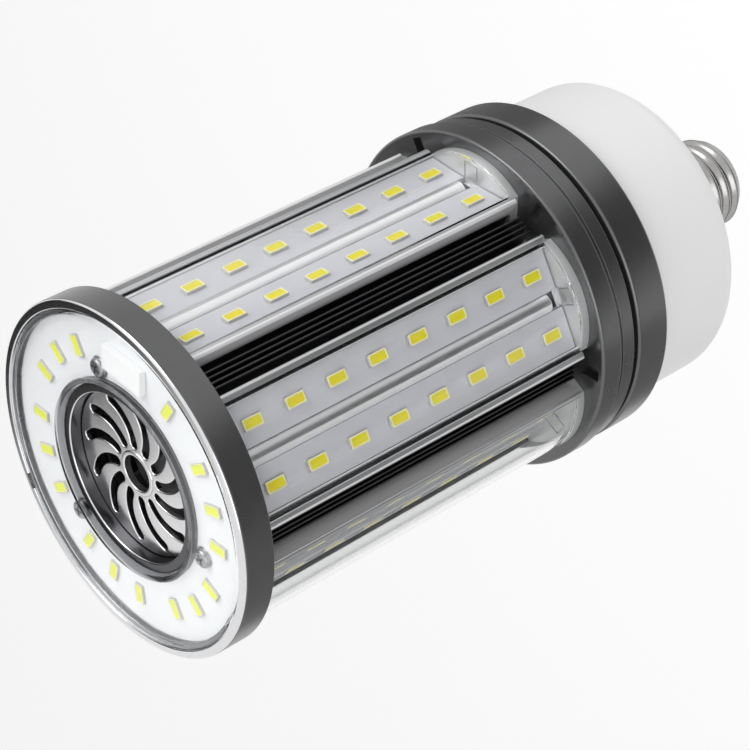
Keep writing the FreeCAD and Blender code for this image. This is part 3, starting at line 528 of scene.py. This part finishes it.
# Side boards
# Twelve long aluminium boards under pale grey lacquer, stuck to the flat seats of the
# heat sink beside each ridge, with tinned pads at the ends of every LED.
strip_lacquer = finish("side_board_lacquer", (0.55, 0.55, 0.585), (0.49, 0.49, 0.525),
                       0.0, (0.34, 0.46), 5.0, bump=0.002)
strip_low, strip_high = heights("side_strip_01")
strip_edges = (2.3, 13.05)
for number in range(6):
    for way in (-1, 1):
        strip = bmesh.new()
        inner, outer = sorted(way * edge for edge in strip_edges)
        box_shape(strip, (seat, inner, strip_low), (strip_face, outer, strip_high))
        bmesh.ops.bevel(strip, geom=strip.edges[:], offset=0.00012, segments=2, profile=0.5, affect="EDGES")
        tinned = []
        for n in range(8):
            for end in (-1, 1):
                middle = first_led + led_pitch * n + end * 2.95
                tinned += box_shape(strip, (strip_face, way * strip_middle - 1.2, middle - 0.35),
                                    (strip_face + 0.08, way * strip_middle + 1.2, middle + 0.35))
        for face in strip.faces:
            if all(v in set(tinned) for v in face.verts):
                face.material_index = 1
        bmesh.ops.rotate(strip, verts=strip.verts, matrix=Matrix.Rotation(math.radians(60 * number), 3, "Z"))
        node = "side_strip_%02d" % (2 * number + (way + 1) // 2 + 1)
        fit(made(node, strip, [strip_lacquer, tin]), "lamp", "grey_board", node)


# Side covers
# Six clear covers, extruded with a foot along each edge that slides into the slots
# of the heat sink, and bulged over the two rows of LEDs.
def clear(name, tint, rough):
    """Clear moulded plastic that lets light through to what is behind it."""
    material = bpy.data.materials.new(name)
    material.use_nodes = True
    nodes, links = material.node_tree.nodes, material.node_tree.links
    shader = nodes["Principled BSDF"]
    shader.inputs["Base Color"].default_value = (*tint, 1)
    shader.inputs["Transmission Weight"].default_value = 1.0
    shader.inputs["IOR"].default_value = 1.3
    place = nodes.new("ShaderNodeTexCoord")
    haze = nodes.new("ShaderNodeTexNoise")
    haze.inputs["Scale"].default_value = 60.0
    gloss = nodes.new("ShaderNodeMapRange")
    gloss.inputs["To Min"].default_value = rough * 0.6
    gloss.inputs["To Max"].default_value = rough
    links.new(place.outputs["Object"], haze.inputs["Vector"])
    links.new(haze.outputs["Fac"], gloss.inputs["Value"])
    links.new(gloss.outputs["Result"], shader.inputs["Roughness"])
    through = nodes.new("ShaderNodeBsdfTransparent")
    through.inputs["Color"].default_value = (0.97, 0.97, 0.97, 1)
    rays = nodes.new("ShaderNodeLightPath")
    choose = nodes.new("ShaderNodeMixShader")
    links.new(rays.outputs["Is Shadow Ray"], choose.inputs["Fac"])
    links.new(shader.outputs["BSDF"], choose.inputs[1])
    links.new(through.outputs["BSDF"], choose.inputs[2])
    links.new(choose.outputs["Shader"], nodes["Material Output"].inputs["Surface"])
    return material


clear_plastic = clear("clear_cover_plastic", (0.985, 0.99, 0.99), 0.03)


def extruded(loops, low, high, edge=0.0, steps=2):
    """Closed outlines in mm, the outer one and then its holes, raised with eased edges."""
    shape = bmesh.new()
    levels = [(low, 0.0), (high, 0.0)]
    if edge:
        quarter = [math.pi / 2 * k / steps for k in range(steps + 1)]
        rise = [(edge * (1 - math.cos(a)), edge * (1 - math.sin(a))) for a in quarter]
        levels = [(low + z, inset) for z, inset in rise] + [(high - z, inset) for z, inset in reversed(rise)]
    caps = {0: [], len(levels) - 1: []}
    for number, loop in enumerate(loops):
        points = [Vector(p) for p in loop]
        area = sum(a.x * b.y - b.x * a.y for a, b in zip(points, points[1:] + points[:1]))
        if (area < 0) == (number == 0):
            points.reverse()
        count = len(points)
        inward = []
        for i, point in enumerate(points):
            before = (point - points[i - 1]).normalized()
            after = (points[(i + 1) % count] - point).normalized()
            normal = Vector((-before.y - after.y, before.x + after.x))
            inward.append(normal / max(normal.length_squared / 2, 0.3))
        rings = []
        for z, inset in levels:
            ring = [p + n * inset for p, n in zip(points, inward)]
            rings.append([shape.verts.new((p.x / 1000, p.y / 1000, z / 1000)) for p in ring])
        for one, two in zip(rings, rings[1:]):
            for i in range(count):
                j = (i + 1) % count
                shape.faces.new((one[i], one[j], two[j], two[i]))
        for level in caps:
            ring = rings[level]
            caps[level] += [shape.edges.get((ring[i], ring[(i + 1) % count])) for i in range(count)]
    for edges in caps.values():
        bmesh.ops.triangle_fill(shape, use_beauty=True, edges=edges)
    return shape


def arc_line(r_edge, r_top, half_width, count=24):
    """Points (r, w) of a shallow arc over one side, from one edge to the other."""
    rise = r_top - r_edge
    bend = (half_width ** 2 + rise ** 2) / (2 * rise)
    sweep = math.asin(half_width / bend)
    turns = [sweep * (1 - 2 * k / count) for k in range(count + 1)]
    return [(r_top - bend + bend * math.cos(a), bend * math.sin(a)) for a in turns]


cover_low, cover_high = heights("side_cover_1")
cover_outer = 14.80
cover_inner = 13.80
foot = 37.7
outer_arc = arc_line(39.3, 44.8, cover_outer)
inner_arc = arc_line(39.6, 43.6, cover_inner)
cover_line = (outer_arc + [(foot, -cover_outer), (foot, -cover_inner)]
              + list(reversed(inner_arc)) + [(foot, cover_inner), (foot, cover_outer)])
for number in range(6):
    line = [on_side(r, w, 60 * number) for r, w in cover_line]
    cover = extruded([line], cover_low + 0.08, cover_high - 0.02, 0.12)
    node = "side_cover_%d" % (number + 1)
    fit(made(node, cover, [clear_plastic], 40), "lamp", "clear_cover", node)


# Heat sink
# One aluminium extrusion: a tube with six flat seats, a ridge down each seat, railed edges
# that hold the covers, a finned valley between each pair of rails, and twelve fins and six
# screw bosses inside. Its end is bored out for the fan, and three bosses at each end are drilled.
drawn = (1, 1, 0.02)
extrusion = finish("extruded_aluminium", (0.64, 0.645, 0.655), (0.54, 0.545, 0.555),
                   0.85, (0.24, 0.34), 0.9, drawn, 0.006)
# A lighter, less metallic copy of the aluminium, painted as light on the upper valley walls.
painted_light_wall = finish("painted_light_wall_aluminium", (0.72, 0.72, 0.73), (0.60, 0.60, 0.61),
                    0.30, (0.36, 0.46), 0.9, drawn, 0.006)
# A near black copy of the aluminium, painted as shade in the valleys, their fins and the cover slots.
valley_painted_shade = finish("valley_painted_shade_aluminium", (0.085, 0.085, 0.09), (0.055, 0.055, 0.06),
                     1.0, (0.30, 0.42), 0.9, drawn, 0.006)
# A bright copy of the aluminium, painted as highlights on the small lips, one ridge flank and one rail round.
painted_highlight_aluminium = finish("painted_highlight_lip_aluminium", (0.86, 0.86, 0.87), (0.78, 0.78, 0.79),
                    0.35, (0.25, 0.35), 0.9, drawn)
sink_low, sink_high = heights("heat_sink")
ridge_half = 2.2
ridge_top = seat + 2.4
crown_bend = 2.617
crown = [(ridge_top - crown_bend + x, y) for x, y in (around(crown_bend, 7.15 * k) for k in range(1, 9))]
half_side = crown + [
    (seat, ridge_half, 0.1), (seat, 13.15, 0.1), (38.6, 13.15, 0.2), (38.6, 13.75, 0.2),
    (37.6, 13.75), (37.6, 14.85), (40.2, 14.85, 0.35), (40.2, 17.3, 1.5),
]
valley_floor = 32.5
fin_tip = 40.0
valley = [(valley_floor, -4.6, 0.3)]
for fin in (-2.175, -0.725, 0.725, 2.175):
    one, two = fin - 0.3, fin + 0.3
    valley += [(valley_floor, one, 0.1), (fin_tip, one, 0.25), (fin_tip, two, 0.25), (valley_floor, two, 0.1)]
valley.append((valley_floor, 4.6, 0.3))
corners = []
for side in range(6):
    angle = 60 * side
    for r, w, *ease in reversed(half_side):
        corners.append((*on_side(r, -w, angle), *ease))
    for r, w, *ease in half_side:
        corners.append((*on_side(r, w, angle), *ease))
    for q, d, *ease in valley:
        corners.append((*on_side(q, d, angle + 30), *ease))
sink_line = []
smooth_line = rounded(corners, 5)
for here, on in zip(smooth_line, smooth_line[1:] + smooth_line[:1]):
    sink_line.append(here)
    if abs(here.length - on.length) > 7.6:
        sink_line.append(here.lerp(on, 0.5))
bore = 27.0
inner_fin_tip = 22.5
boss = 2.8
boss_angle = 16.8
screw_hole = 1.5
screw_hole_depth = 9.0


def bore_edge(angle):
    """How far the bore reaches at one angle, which is less where a screw boss stands in it."""
    ahead, aside = around(boss_circle, (angle - boss_angle + 30) % 60 - 30)
    if abs(aside) >= boss:
        return bore
    return min(bore, ahead - math.sqrt(boss ** 2 - aside ** 2))


bore_line = []
for fin in range(15, 375, 30):
    bore_line += [on_side(inner_fin_tip, -0.6, fin), on_side(inner_fin_tip, 0.6, fin)]
    bore_line += [around(bore_edge(turn), turn) for turn in (fin + 1.273 + 1.248 * k for k in range(23))]
holes = [bore_line]
boss_x, boss_y = around(boss_circle, boss_angle)
boss_back = [(boss_x + x, boss_y + y) for x, y in (around(boss, 30.2 - 97.9 * k / 8) for k in range(9))]
for side in range(6):
    for way in (-1, 1):
        pocket = [(29.2, 1.6, 0.4), (34.6, 1.6, 0.4), (34.6, 12.15, 0.4)]
        pocket += boss_back if way == 1 else [(29.2, 9.15, 0.4)]
        holes.append(rounded([(*on_side(r, way * w, 60 * side), *ease) for r, w, *ease in pocket], 2))
heat_sink = made("heat_sink", extruded([sink_line] + holes, sink_low, sink_high),
                 [extrusion, valley_painted_shade, painted_highlight_aluminium, painted_light_wall])


def drill(shape, radius, low, high, x=0.0, y=0.0, sides=48):
    """Adds an upright round cutter from its sizes in mm."""
    place = Matrix.Translation((x / 1000, y / 1000, (low + high) / 2000))
    bmesh.ops.create_cone(shape, cap_ends=True, segments=sides, radius1=radius / 1000, radius2=radius / 1000,
                          depth=(high - low) / 1000, matrix=place)


ridge_ends = bmesh.new()
wire_slots = bmesh.new()
for side in range(6):
    box_shape(ridge_ends, (seat, -2.25, sink_low - 1), (41.0, 2.25, sink_low + 4.0), 60 * side)
    box_shape(wire_slots, (33.0, -2.05, sink_low + 1.0), (38.0, 2.05, sink_low + 3.7), 60 * side)
fan_seat = bmesh.new()
drill(fan_seat, bore - 0.02, heights("fan_frame")[0] - 2.0, sink_high + 1)
screw_holes = bmesh.new()
for angle in screw_angles:
    drill(screw_holes, screw_hole, sink_high - screw_hole_depth, sink_high + 1, *around(boss_circle, angle))
    drill(screw_holes, screw_hole, sink_low - 1, sink_low + screw_hole_depth, *around(boss_circle, angle + 60))
for cutter in (ridge_ends, wire_slots, fan_seat, screw_holes):
    cut_out(heat_sink, cutter)

# The deep valleys, their fins and the slots for the covers are painted near black as shade, and the upper valley
# walls get a lighter, less metallic copy as painted light.
# The small lips, one flank of each ridge and the round of one rail on each side are painted bright as highlights.
painted_shade, painted_highlight, painted_light = 1, 2, 3
for face in heat_sink.data.polygons:
    middle = face.center * 1000
    turn = math.degrees(math.atan2(middle.y, middle.x)) % 60
    q, d = on_side(middle.xy.length, 0, turn - 30)
    r, w = on_side(middle.xy.length, 0, (turn + 30) % 60 - 30)
    if abs(face.normal.z) > 0.5:
        continue
    # Painted shade: the deep valleys and their fins.
    if 32.0 < q < 36.9 and abs(d) < 5.2 or 32.0 < q < 40.6 and abs(d) < 2.7:
        face.material_index = painted_shade
    # Painted light: the upper valley walls take the lighter copy.
    elif 36.9 < q < 41.3 and 3.9 < abs(d) < 5.3:
        face.material_index = painted_light
    # Painted shade: the slots that hold the feet of the covers.
    elif 13.7 < abs(w) < 14.95 and 37.0 < r < 39.8:
        face.material_index = painted_shade
    # Painted highlights on the small lips, on one flank of each ridge and on the round of one rail.
    elif 13.0 < abs(w) < 13.9 and r > 38.2:
        face.material_index = painted_highlight
    elif -2.3 < w < -0.4 and r > 38.2 or -17.3 < w < -15.9 and r > 38.6:
        face.material_index = painted_highlight
fit(heat_sink, "lamp", "sink_aluminium", "heat_sink")


# End plate
# A thin bright aluminium plate between the heat sink and the collar, with a lobe that
# closes the end of each cover and a thin scored tab on every lobe.
plate_metal = finish("end_plate_aluminium", (0.72, 0.73, 0.73), (0.66, 0.67, 0.67),
                     0.55, (0.30, 0.42), 1.6, bump=0.003)
plate_low, plate_high = heights("end_plate")
plate_line = []
for side in range(6):
    angle = 60 * side
    plate_line.append(on_side(29.6, -14.8, angle))
    plate_line += [on_side(r, w, angle) for r, w in reversed(outer_arc)]
    plate_line.append(on_side(29.6, 14.8, angle))
plate_holes = [[around(21.0, 2.5 * k) for k in range(144)]]
end_plate = made("end_plate", extruded([plate_line] + plate_holes, plate_low, plate_high, 0.15), [plate_metal])
tab_scores = (((38.4, -2.4), (42.6, -1.95)), ((38.4, 1.95), (42.6, 2.4)), ((42.15, -2.4), (42.6, 2.4)))
tabs = bmesh.new()
for side in range(6):
    for low, high in tab_scores:
        box_shape(tabs, (*low, plate_high - 0.5), (*high, plate_high + 1), 60 * side)
cut_out(end_plate, tabs)
fit(end_plate, "lamp", "end_plate_aluminium", "end_plate")


# Collar
# A lacquered aluminium casting behind the end plate, with a groove round it,
# and a short drain notch in its face below every finned valley.
collar_low, collar_high = heights("collar")
collar = turned(rounded([
    (21.0, collar_high - 4.0), (43.2, collar_high - 4.0), (43.2, collar_low), (46.6, collar_low, 0.4),
    (46.6, collar_high - 8.2, 0.4), (46.3, collar_high - 8.2), (46.3, collar_high - 6.8),
    (47.5, collar_high - 6.8, 0.5), (47.5, collar_high, 0.8), (21.0, collar_high),
]))
collar = made("collar", collar, [grey_lacquer])
notches = bmesh.new()
for side in range(6):
    box_shape(notches, (40.2, -1.6, collar_high - 2.4), (45.8, 1.6, collar_high + 1), 60 * side + 30)
cut_out(collar, notches)
fit(collar, "lamp", "ring_paint", "collar")


# Gasket
# A black rubber ring squeezed between the collar and the rear ring,
# which keeps rain out of the driver housing.
rubber = finish("black_rubber", (0.016, 0.016, 0.016), (0.010, 0.010, 0.010), 0.0, (0.55, 0.7), 0.5, bump=0.01)
gasket_low, gasket_high = heights("collar_gasket")
gasket = made("collar_gasket", turned(rounded([
    (42.0, gasket_low), (44.8, gasket_low, 0.4), (44.8, gasket_high, 0.4), (42.0, gasket_high),
])), [rubber])
fit(gasket, "lamp", "gasket_rubber", "collar_gasket")


# Rear ring
# The second lacquered casting, stepped inside, which clamps the flange
# of the driver housing against the gasket.
rear_low, rear_high = heights("rear_ring")
rear = made("rear_ring", turned(rounded([
    (42.7, rear_low), (46.9, rear_low, 0.8), (46.9, rear_high, 0.8), (44.3, rear_high),
    (44.3, rear_high - 1.7), (42.7, rear_high - 1.7),
])), [grey_lacquer])
fit(rear, "lamp", "ring_paint", "rear_ring")


# Driver housing
# One white moulding with a flange at its open end, a round shoulder and a shallow dome
# that draws in to the neck of the screw base. Four screws sit in deep recesses.
white_moulding = finish("white_moulding", (0.83, 0.83, 0.83), (0.80, 0.80, 0.80),
                        0.0, (0.38, 0.48), 0.6, bump=0.006)
housing_low = heights("driver_housing")[0]
housing_radius = 42.6
flange_radius = 44.2
recess = 3.6
recess_circle = 38.4
shell_top = heights("screw_shell")[1]
flange_top = rear_high
housing_line = rounded([
    (9.8, housing_low), (11.4, housing_low, 0.3), (11.4, shell_top), (15.4, shell_top, 0.6),
    (36.8, 40.7, 9.0), (housing_radius, 44.5, 6.0), (housing_radius, flange_top - 1.6),
    (flange_radius, flange_top - 1.6), (flange_radius, flange_top), (40.4, flange_top),
    (40.4, 46.8, 3.8), (34.0, 42.9, 3.0), (9.8, 35.2),
], 8)
housing = made("driver_housing", turned(housing_line), [white_moulding], 30)
recesses = bmesh.new()
for number in range(4):
    drill(recesses, recess, 32.6, 44.6, *around(recess_circle, 61 + 90 * number), sides=40)
cut_out(housing, recesses)
fit(housing, "lamp", "white_plastic", "driver_housing")


# Screw shell
# A thin nickel-plated brass shell, rolled with a rounded right-hand thread,
# flared at its rim and turned in over the glass at its foot.
nickel = finish("nickel_plate", (0.44, 0.435, 0.43), (0.33, 0.327, 0.32),
                1.0, (0.20, 0.30), 1.4, bump=0.002)
shell_low, shell_high = heights("screw_shell")
pitch = 3.63
root = 12.1
root_inner = 11.6
thread_depth = 1.1
thread_low, thread_high = shell_low + 1.0, shell_high - 3.6
rows = 72
levels = [thread_low + (thread_high - thread_low) * k / rows for k in range(rows + 1)]
shell_line = [(10.6, shell_low, 0), (11.4, shell_low, 0)] + [(root, z, 1) for z in levels]
shell_line += [(r, shell_high - drop, 0) for r, drop in (
    (root, 2.4), (12.6, 1.9), (13.5, 1.5), (13.9, 1.0), (13.9, 0.3), (13.6, 0.0), (root_inner, 0.0),
)]
shell_line += [(root_inner, thread_high + 0.4, 0)] + [(root_inner, z, 1) for z in reversed(levels)]
shell_line += [(11.0, shell_low + 0.5, 0), (10.6, shell_low + 0.5, 0)]


def thread(angle, number, r, z):
    """The rolled wave of the thread, fading out at both ends."""
    if not shell_line[number][2]:
        return r, z
    fade = min(1.0, (z - thread_low) / 1.6, (thread_high - z) / 1.6)
    crest = 0.5 - 0.5 * math.cos(2 * math.pi * (z - thread_low) / pitch - angle)
    return r + thread_depth * max(fade, 0) * crest ** 0.8, z


shell = made("screw_shell", turned([(r, z) for r, z, rolled in shell_line], 128, thread), [nickel], 50)
fit(shell, "lamp", "shell_nickel", "screw_shell")


# Base insulator
# Black glass moulded into the foot of the shell, which keeps the centre contact
# apart from the thread.
black_glass = finish("black_glass", (0.012, 0.012, 0.013), (0.006, 0.006, 0.007),
                     0.0, (0.06, 0.14), 4.0)
glass_low, glass_high = heights("base_insulator")
insulator = made("base_insulator", turned(rounded([
    (1.4, glass_low), (6.2, glass_low, 0.5), (10.6, shell_low, 0.3), (10.6, shell_low + 0.5), (11.0, shell_low + 0.5),
    (9.6, glass_high), (1.4, glass_high),
]), 96), [black_glass])
fit(insulator, "lamp", "black_glass", "base_insulator")


# Centre contact
# A brass cap on the tip of the glass, domed with solder where the lead comes through.
contact_brass = finish("contact_brass", (0.72, 0.66, 0.52), (0.60, 0.54, 0.42),
                       1.0, (0.20, 0.36), 0.8, bump=0.004)
contact_low, contact_high = heights("centre_contact")
dome = [(r, contact_low + rise) for r, rise in ((0, 0.0), (1.2, 0.02), (2.4, 0.10), (3.6, 0.38), (4.4, 0.78))]
cap = rounded([(5.4, contact_low + 1.6, 0.3), (5.4, contact_high, 0.2), (0, contact_high)])
contact = made("centre_contact", turned(dome + cap, 96), [contact_brass], 40)
fit(contact, "lamp", "contact_brass", "centre_contact")


# Front cover
# A clear moulded ring that lies over the front board inside the lip of the end ring,
# with rounded shoulders and a rim at each edge. The rim beside the bezel is given a dark grey tint as painted shade.
painted_shade_rim = clear("painted_shade_rim_plastic", (0.34, 0.34, 0.35), 0.12)
front_low, front_high = heights("front_cover")
rim_outer = 26.5
front_cover = made("front_cover", turned(rounded([
    (43.2, front_low), (44.4, front_low), (44.4, front_high, 1.0), (25.3, front_high, 1.0), (25.3, front_low),
    (rim_outer, front_low), (rim_outer, front_high - 1.0, 0.4), (43.2, front_high - 1.0, 0.4),
])), [clear_plastic, painted_shade_rim], 40)
# Painted shade: the inner rim takes the dark grey tint.
paint_where(front_cover, 1, lambda r, z, normal: r < rim_outer + 0.1)
fit(front_cover, "lamp", "clear_cover", "front_cover")


# Vent bezel
# A spun ring with a rounded rim that lines the opening in the front board
# and holds the grille on a ledge at its foot. Its inner round is painted bright as a highlight.
bezel_metal = finish("bezel_lacquer", (0.10, 0.10, 0.105), (0.07, 0.07, 0.075), 0.9, (0.20, 0.30), 1.2)
bezel_low, bezel_high = heights("vent_bezel")
grille_low, grille_high = heights("vent_grille")
bezel = made("vent_bezel", turned(rounded([
    (21.0, bezel_low), (23.4, bezel_low), (23.4, board_high), (25.0, board_high), (25.0, bezel_high, 0.5),
    (22.4, bezel_high, 0.4), (22.4, grille_low), (21.0, grille_low),
])), [bezel_metal, painted_highlight_and_reflection])
# Painted highlight: the inner round of the rim takes the bright metal.
paint_where(bezel, 1, lambda r, z, normal: z > board_high + 0.3 and 0.3 < normal.z < 0.95 and r < 23.2)
fit(bezel, "lamp", "bezel_paint", "vent_bezel")


# Vent grille
# A pressed aluminium disc with twelve curved slots that swirl round its hub hole,
# their edges softly rounded, and a raised ring round the hole.
grille_metal = finish("grille_aluminium", (0.80, 0.80, 0.81), (0.70, 0.70, 0.71),
                      1.0, (0.16, 0.22), 0.8, bump=0.001)
slot_half = 1.3


def slot_line(turn):
    """The outline of one slot, an arc with rounded ends."""
    (x0, y0), (x1, y1), (x2, y2) = [around(r, a) for r, a in ((8.2, 0), (13.2, 6.5), (19.3, 23.0))]
    d = 2 * (x0 * (y1 - y2) + x1 * (y2 - y0) + x2 * (y0 - y1))
    s0, s1, s2 = x0 * x0 + y0 * y0, x1 * x1 + y1 * y1, x2 * x2 + y2 * y2
    centre = Vector((s0 * (y1 - y2) + s1 * (y2 - y0) + s2 * (y0 - y1),
                     s0 * (x2 - x1) + s1 * (x0 - x2) + s2 * (x1 - x0))) / d
    start, end = Vector((x0, y0)) - centre, Vector((x2, y2)) - centre
    bend = start.length
    sweep = math.atan2(start.x * end.y - start.y * end.x, start.dot(end))
    first = math.atan2(start.y, start.x)
    way = 1 if sweep > 0 else -1

    def off(middle, a, radius):
        return middle + Vector((math.cos(a), math.sin(a))) * radius

    tip, heel = off(centre, first + sweep, bend), off(centre, first, bend)
    along = [first + sweep * k / 12 for k in range(13)]
    over = [way * math.pi * k / 8 for k in range(1, 8)]
    points = [off(centre, a, bend + slot_half) for a in along]
    points += [off(tip, first + sweep + a, slot_half) for a in over]
    points += [off(centre, a, bend - slot_half) for a in reversed(along)]
    points += [off(heel, first + math.pi + a, slot_half) for a in over]
    c, s = around(1, turn)
    return [(p.x * c - p.y * s, p.x * s + p.y * c) for p in points]


plate_top = grille_high - 0.3
disc = extruded([[around(22.2, 2.5 * k) for k in range(144)], [around(5.5, 7.5 * k) for k in range(48)]]
                + [slot_line(6 + 30 * k) for k in range(12)], grille_low, plate_top, 0.3, 3)
hub = turned(rounded([(4.8, grille_low), (6.1, grille_low), (6.1, grille_high, 0.3), (4.8, grille_high, 0.3)]), 96)
grille = made("vent_grille", joined([disc, hub]), [grille_metal])
fit(grille, "lamp", "grille_metal", "vent_grille")


# Cooling fan
# A small black fan hung from the ledge of the bezel by four screws. Its seven-bladed rotor
# turns on a steel shaft in a brass bearing, with a ring magnet round a four-pole core.
black_moulding = finish("black_moulding", (0.022, 0.022, 0.023), (0.014, 0.014, 0.015),
                        0.0, (0.36, 0.48), 0.7, bump=0.006)
brass = finish("bearing_brass", (0.72, 0.52, 0.24), (0.60, 0.42, 0.18), 1.0, (0.2, 0.3), 0.7)
core_steel = finish("core_steel", (0.20, 0.20, 0.21), (0.12, 0.12, 0.13), 0.9, (0.4, 0.5), 0.5, (1, 1, 14))
ferrite = finish("ferrite", (0.045, 0.045, 0.047), (0.03, 0.03, 0.032), 0.1, (0.5, 0.65), 0.4, bump=0.01)
green_board = finish("green_board", (0.03, 0.16, 0.06), (0.02, 0.12, 0.045), 0.0, (0.3, 0.42), 3.0)
rotor_low, rotor_high = heights("fan_rotor")
hub_line = rounded([
    (8.3, rotor_low), (9.3, rotor_low), (9.3, rotor_high, 0.6), (0, rotor_high), (0, rotor_high - 0.5),
    (1.0, rotor_high - 0.5), (1.0, rotor_high - 1.8), (1.8, rotor_high - 1.8), (1.8, rotor_high - 1.0),
    (8.3, rotor_high - 1.0),
])
blades = 7
blade_root, blade_tip = 9.0, 18.15
blade_middle = rotor_low + 3.5
rotor_parts = [turned(hub_line, 96)]
for number in range(blades):
    blade = bmesh.new()
    sheets = []
    for face in (-0.45, 0.45):
        grid = []
        for i in range(9):
            r = blade_root + (blade_tip - blade_root) * i / 8
            tilt = math.radians(30 + 18 * i / 8)
            row = []
            for k in range(7):
                rise = -3.2 + 6.4 * k / 6
                slide = -math.tan(tilt) * rise + 0.35 * math.cos(math.pi * k / 6)
                a = (slide + face * math.cos(tilt)) / r + math.radians(360 / blades * number)
                z = blade_middle + rise + face * 0.2
                row.append(blade.verts.new((r * math.cos(a) / 1000, r * math.sin(a) / 1000, z / 1000)))
            grid.append(row)
        sheets.append(grid)
    below, above = sheets
    for i in range(8):
        for k in range(6):
            blade.faces.new((below[i][k], below[i][k + 1], below[i + 1][k + 1], below[i + 1][k]))
            blade.faces.new((above[i][k], above[i + 1][k], above[i + 1][k + 1], above[i][k + 1]))
    for i in range(8):
        for k in (0, 6):
            blade.faces.new((below[i][k], below[i + 1][k], above[i + 1][k], above[i][k]))
    for k in range(6):
        for i in (0, 8):
            blade.faces.new((below[i][k], below[i][k + 1], above[i][k + 1], above[i][k]))
    rotor_parts.append(blade)
rotor = made("fan_rotor", joined(rotor_parts), [black_moulding], 40)
fit(rotor, "rotor", "black_plastic", "fan_rotor")


def coat(finishes):
    """Gives the solids that stay as they are their finish."""
    for node, material in finishes.items():
        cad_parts[node].data.materials.clear()
        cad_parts[node].data.materials.append(material)


coat({
    "fan_frame": black_moulding, "fan_bearing": brass, "fan_circuit": green_board, "fan_stator": core_steel,
    "fan_magnet": ferrite, "fan_shaft": steel, "fan_screws": steel,
})


# Driver
# The supply stands on a board in two rails of the housing: a wound transformer, two sleeved
# cans and a choke. Long screws clamp the housing, and red leads run to the base and the boards.
wrap_tape = finish("transformer_tape", (0.70, 0.52, 0.05), (0.60, 0.44, 0.04), 0.0, (0.3, 0.4), 2.0)
can_sleeve = finish("capacitor_sleeve", (0.02, 0.02, 0.03), (0.015, 0.015, 0.02), 0.0, (0.25, 0.35), 2.0)
copper = finish("choke_copper", (0.55, 0.22, 0.09), (0.40, 0.15, 0.06), 0.9, (0.25, 0.4), 0.8, (1, 1, 6))
red_cover = finish("lead_cover", (0.45, 0.03, 0.02), (0.36, 0.02, 0.015), 0.0, (0.4, 0.5), 1.0)
coat({
    "driver_board": green_board, "driver_transformer": wrap_tape, "driver_capacitors": can_sleeve,
    "driver_choke": copper, "housing_screws": steel, "collar_screws": steel, "contact_lead": red_cover,
    "shell_lead": red_cover, "supply_lead": red_cover, "fan_lead": red_cover,
})
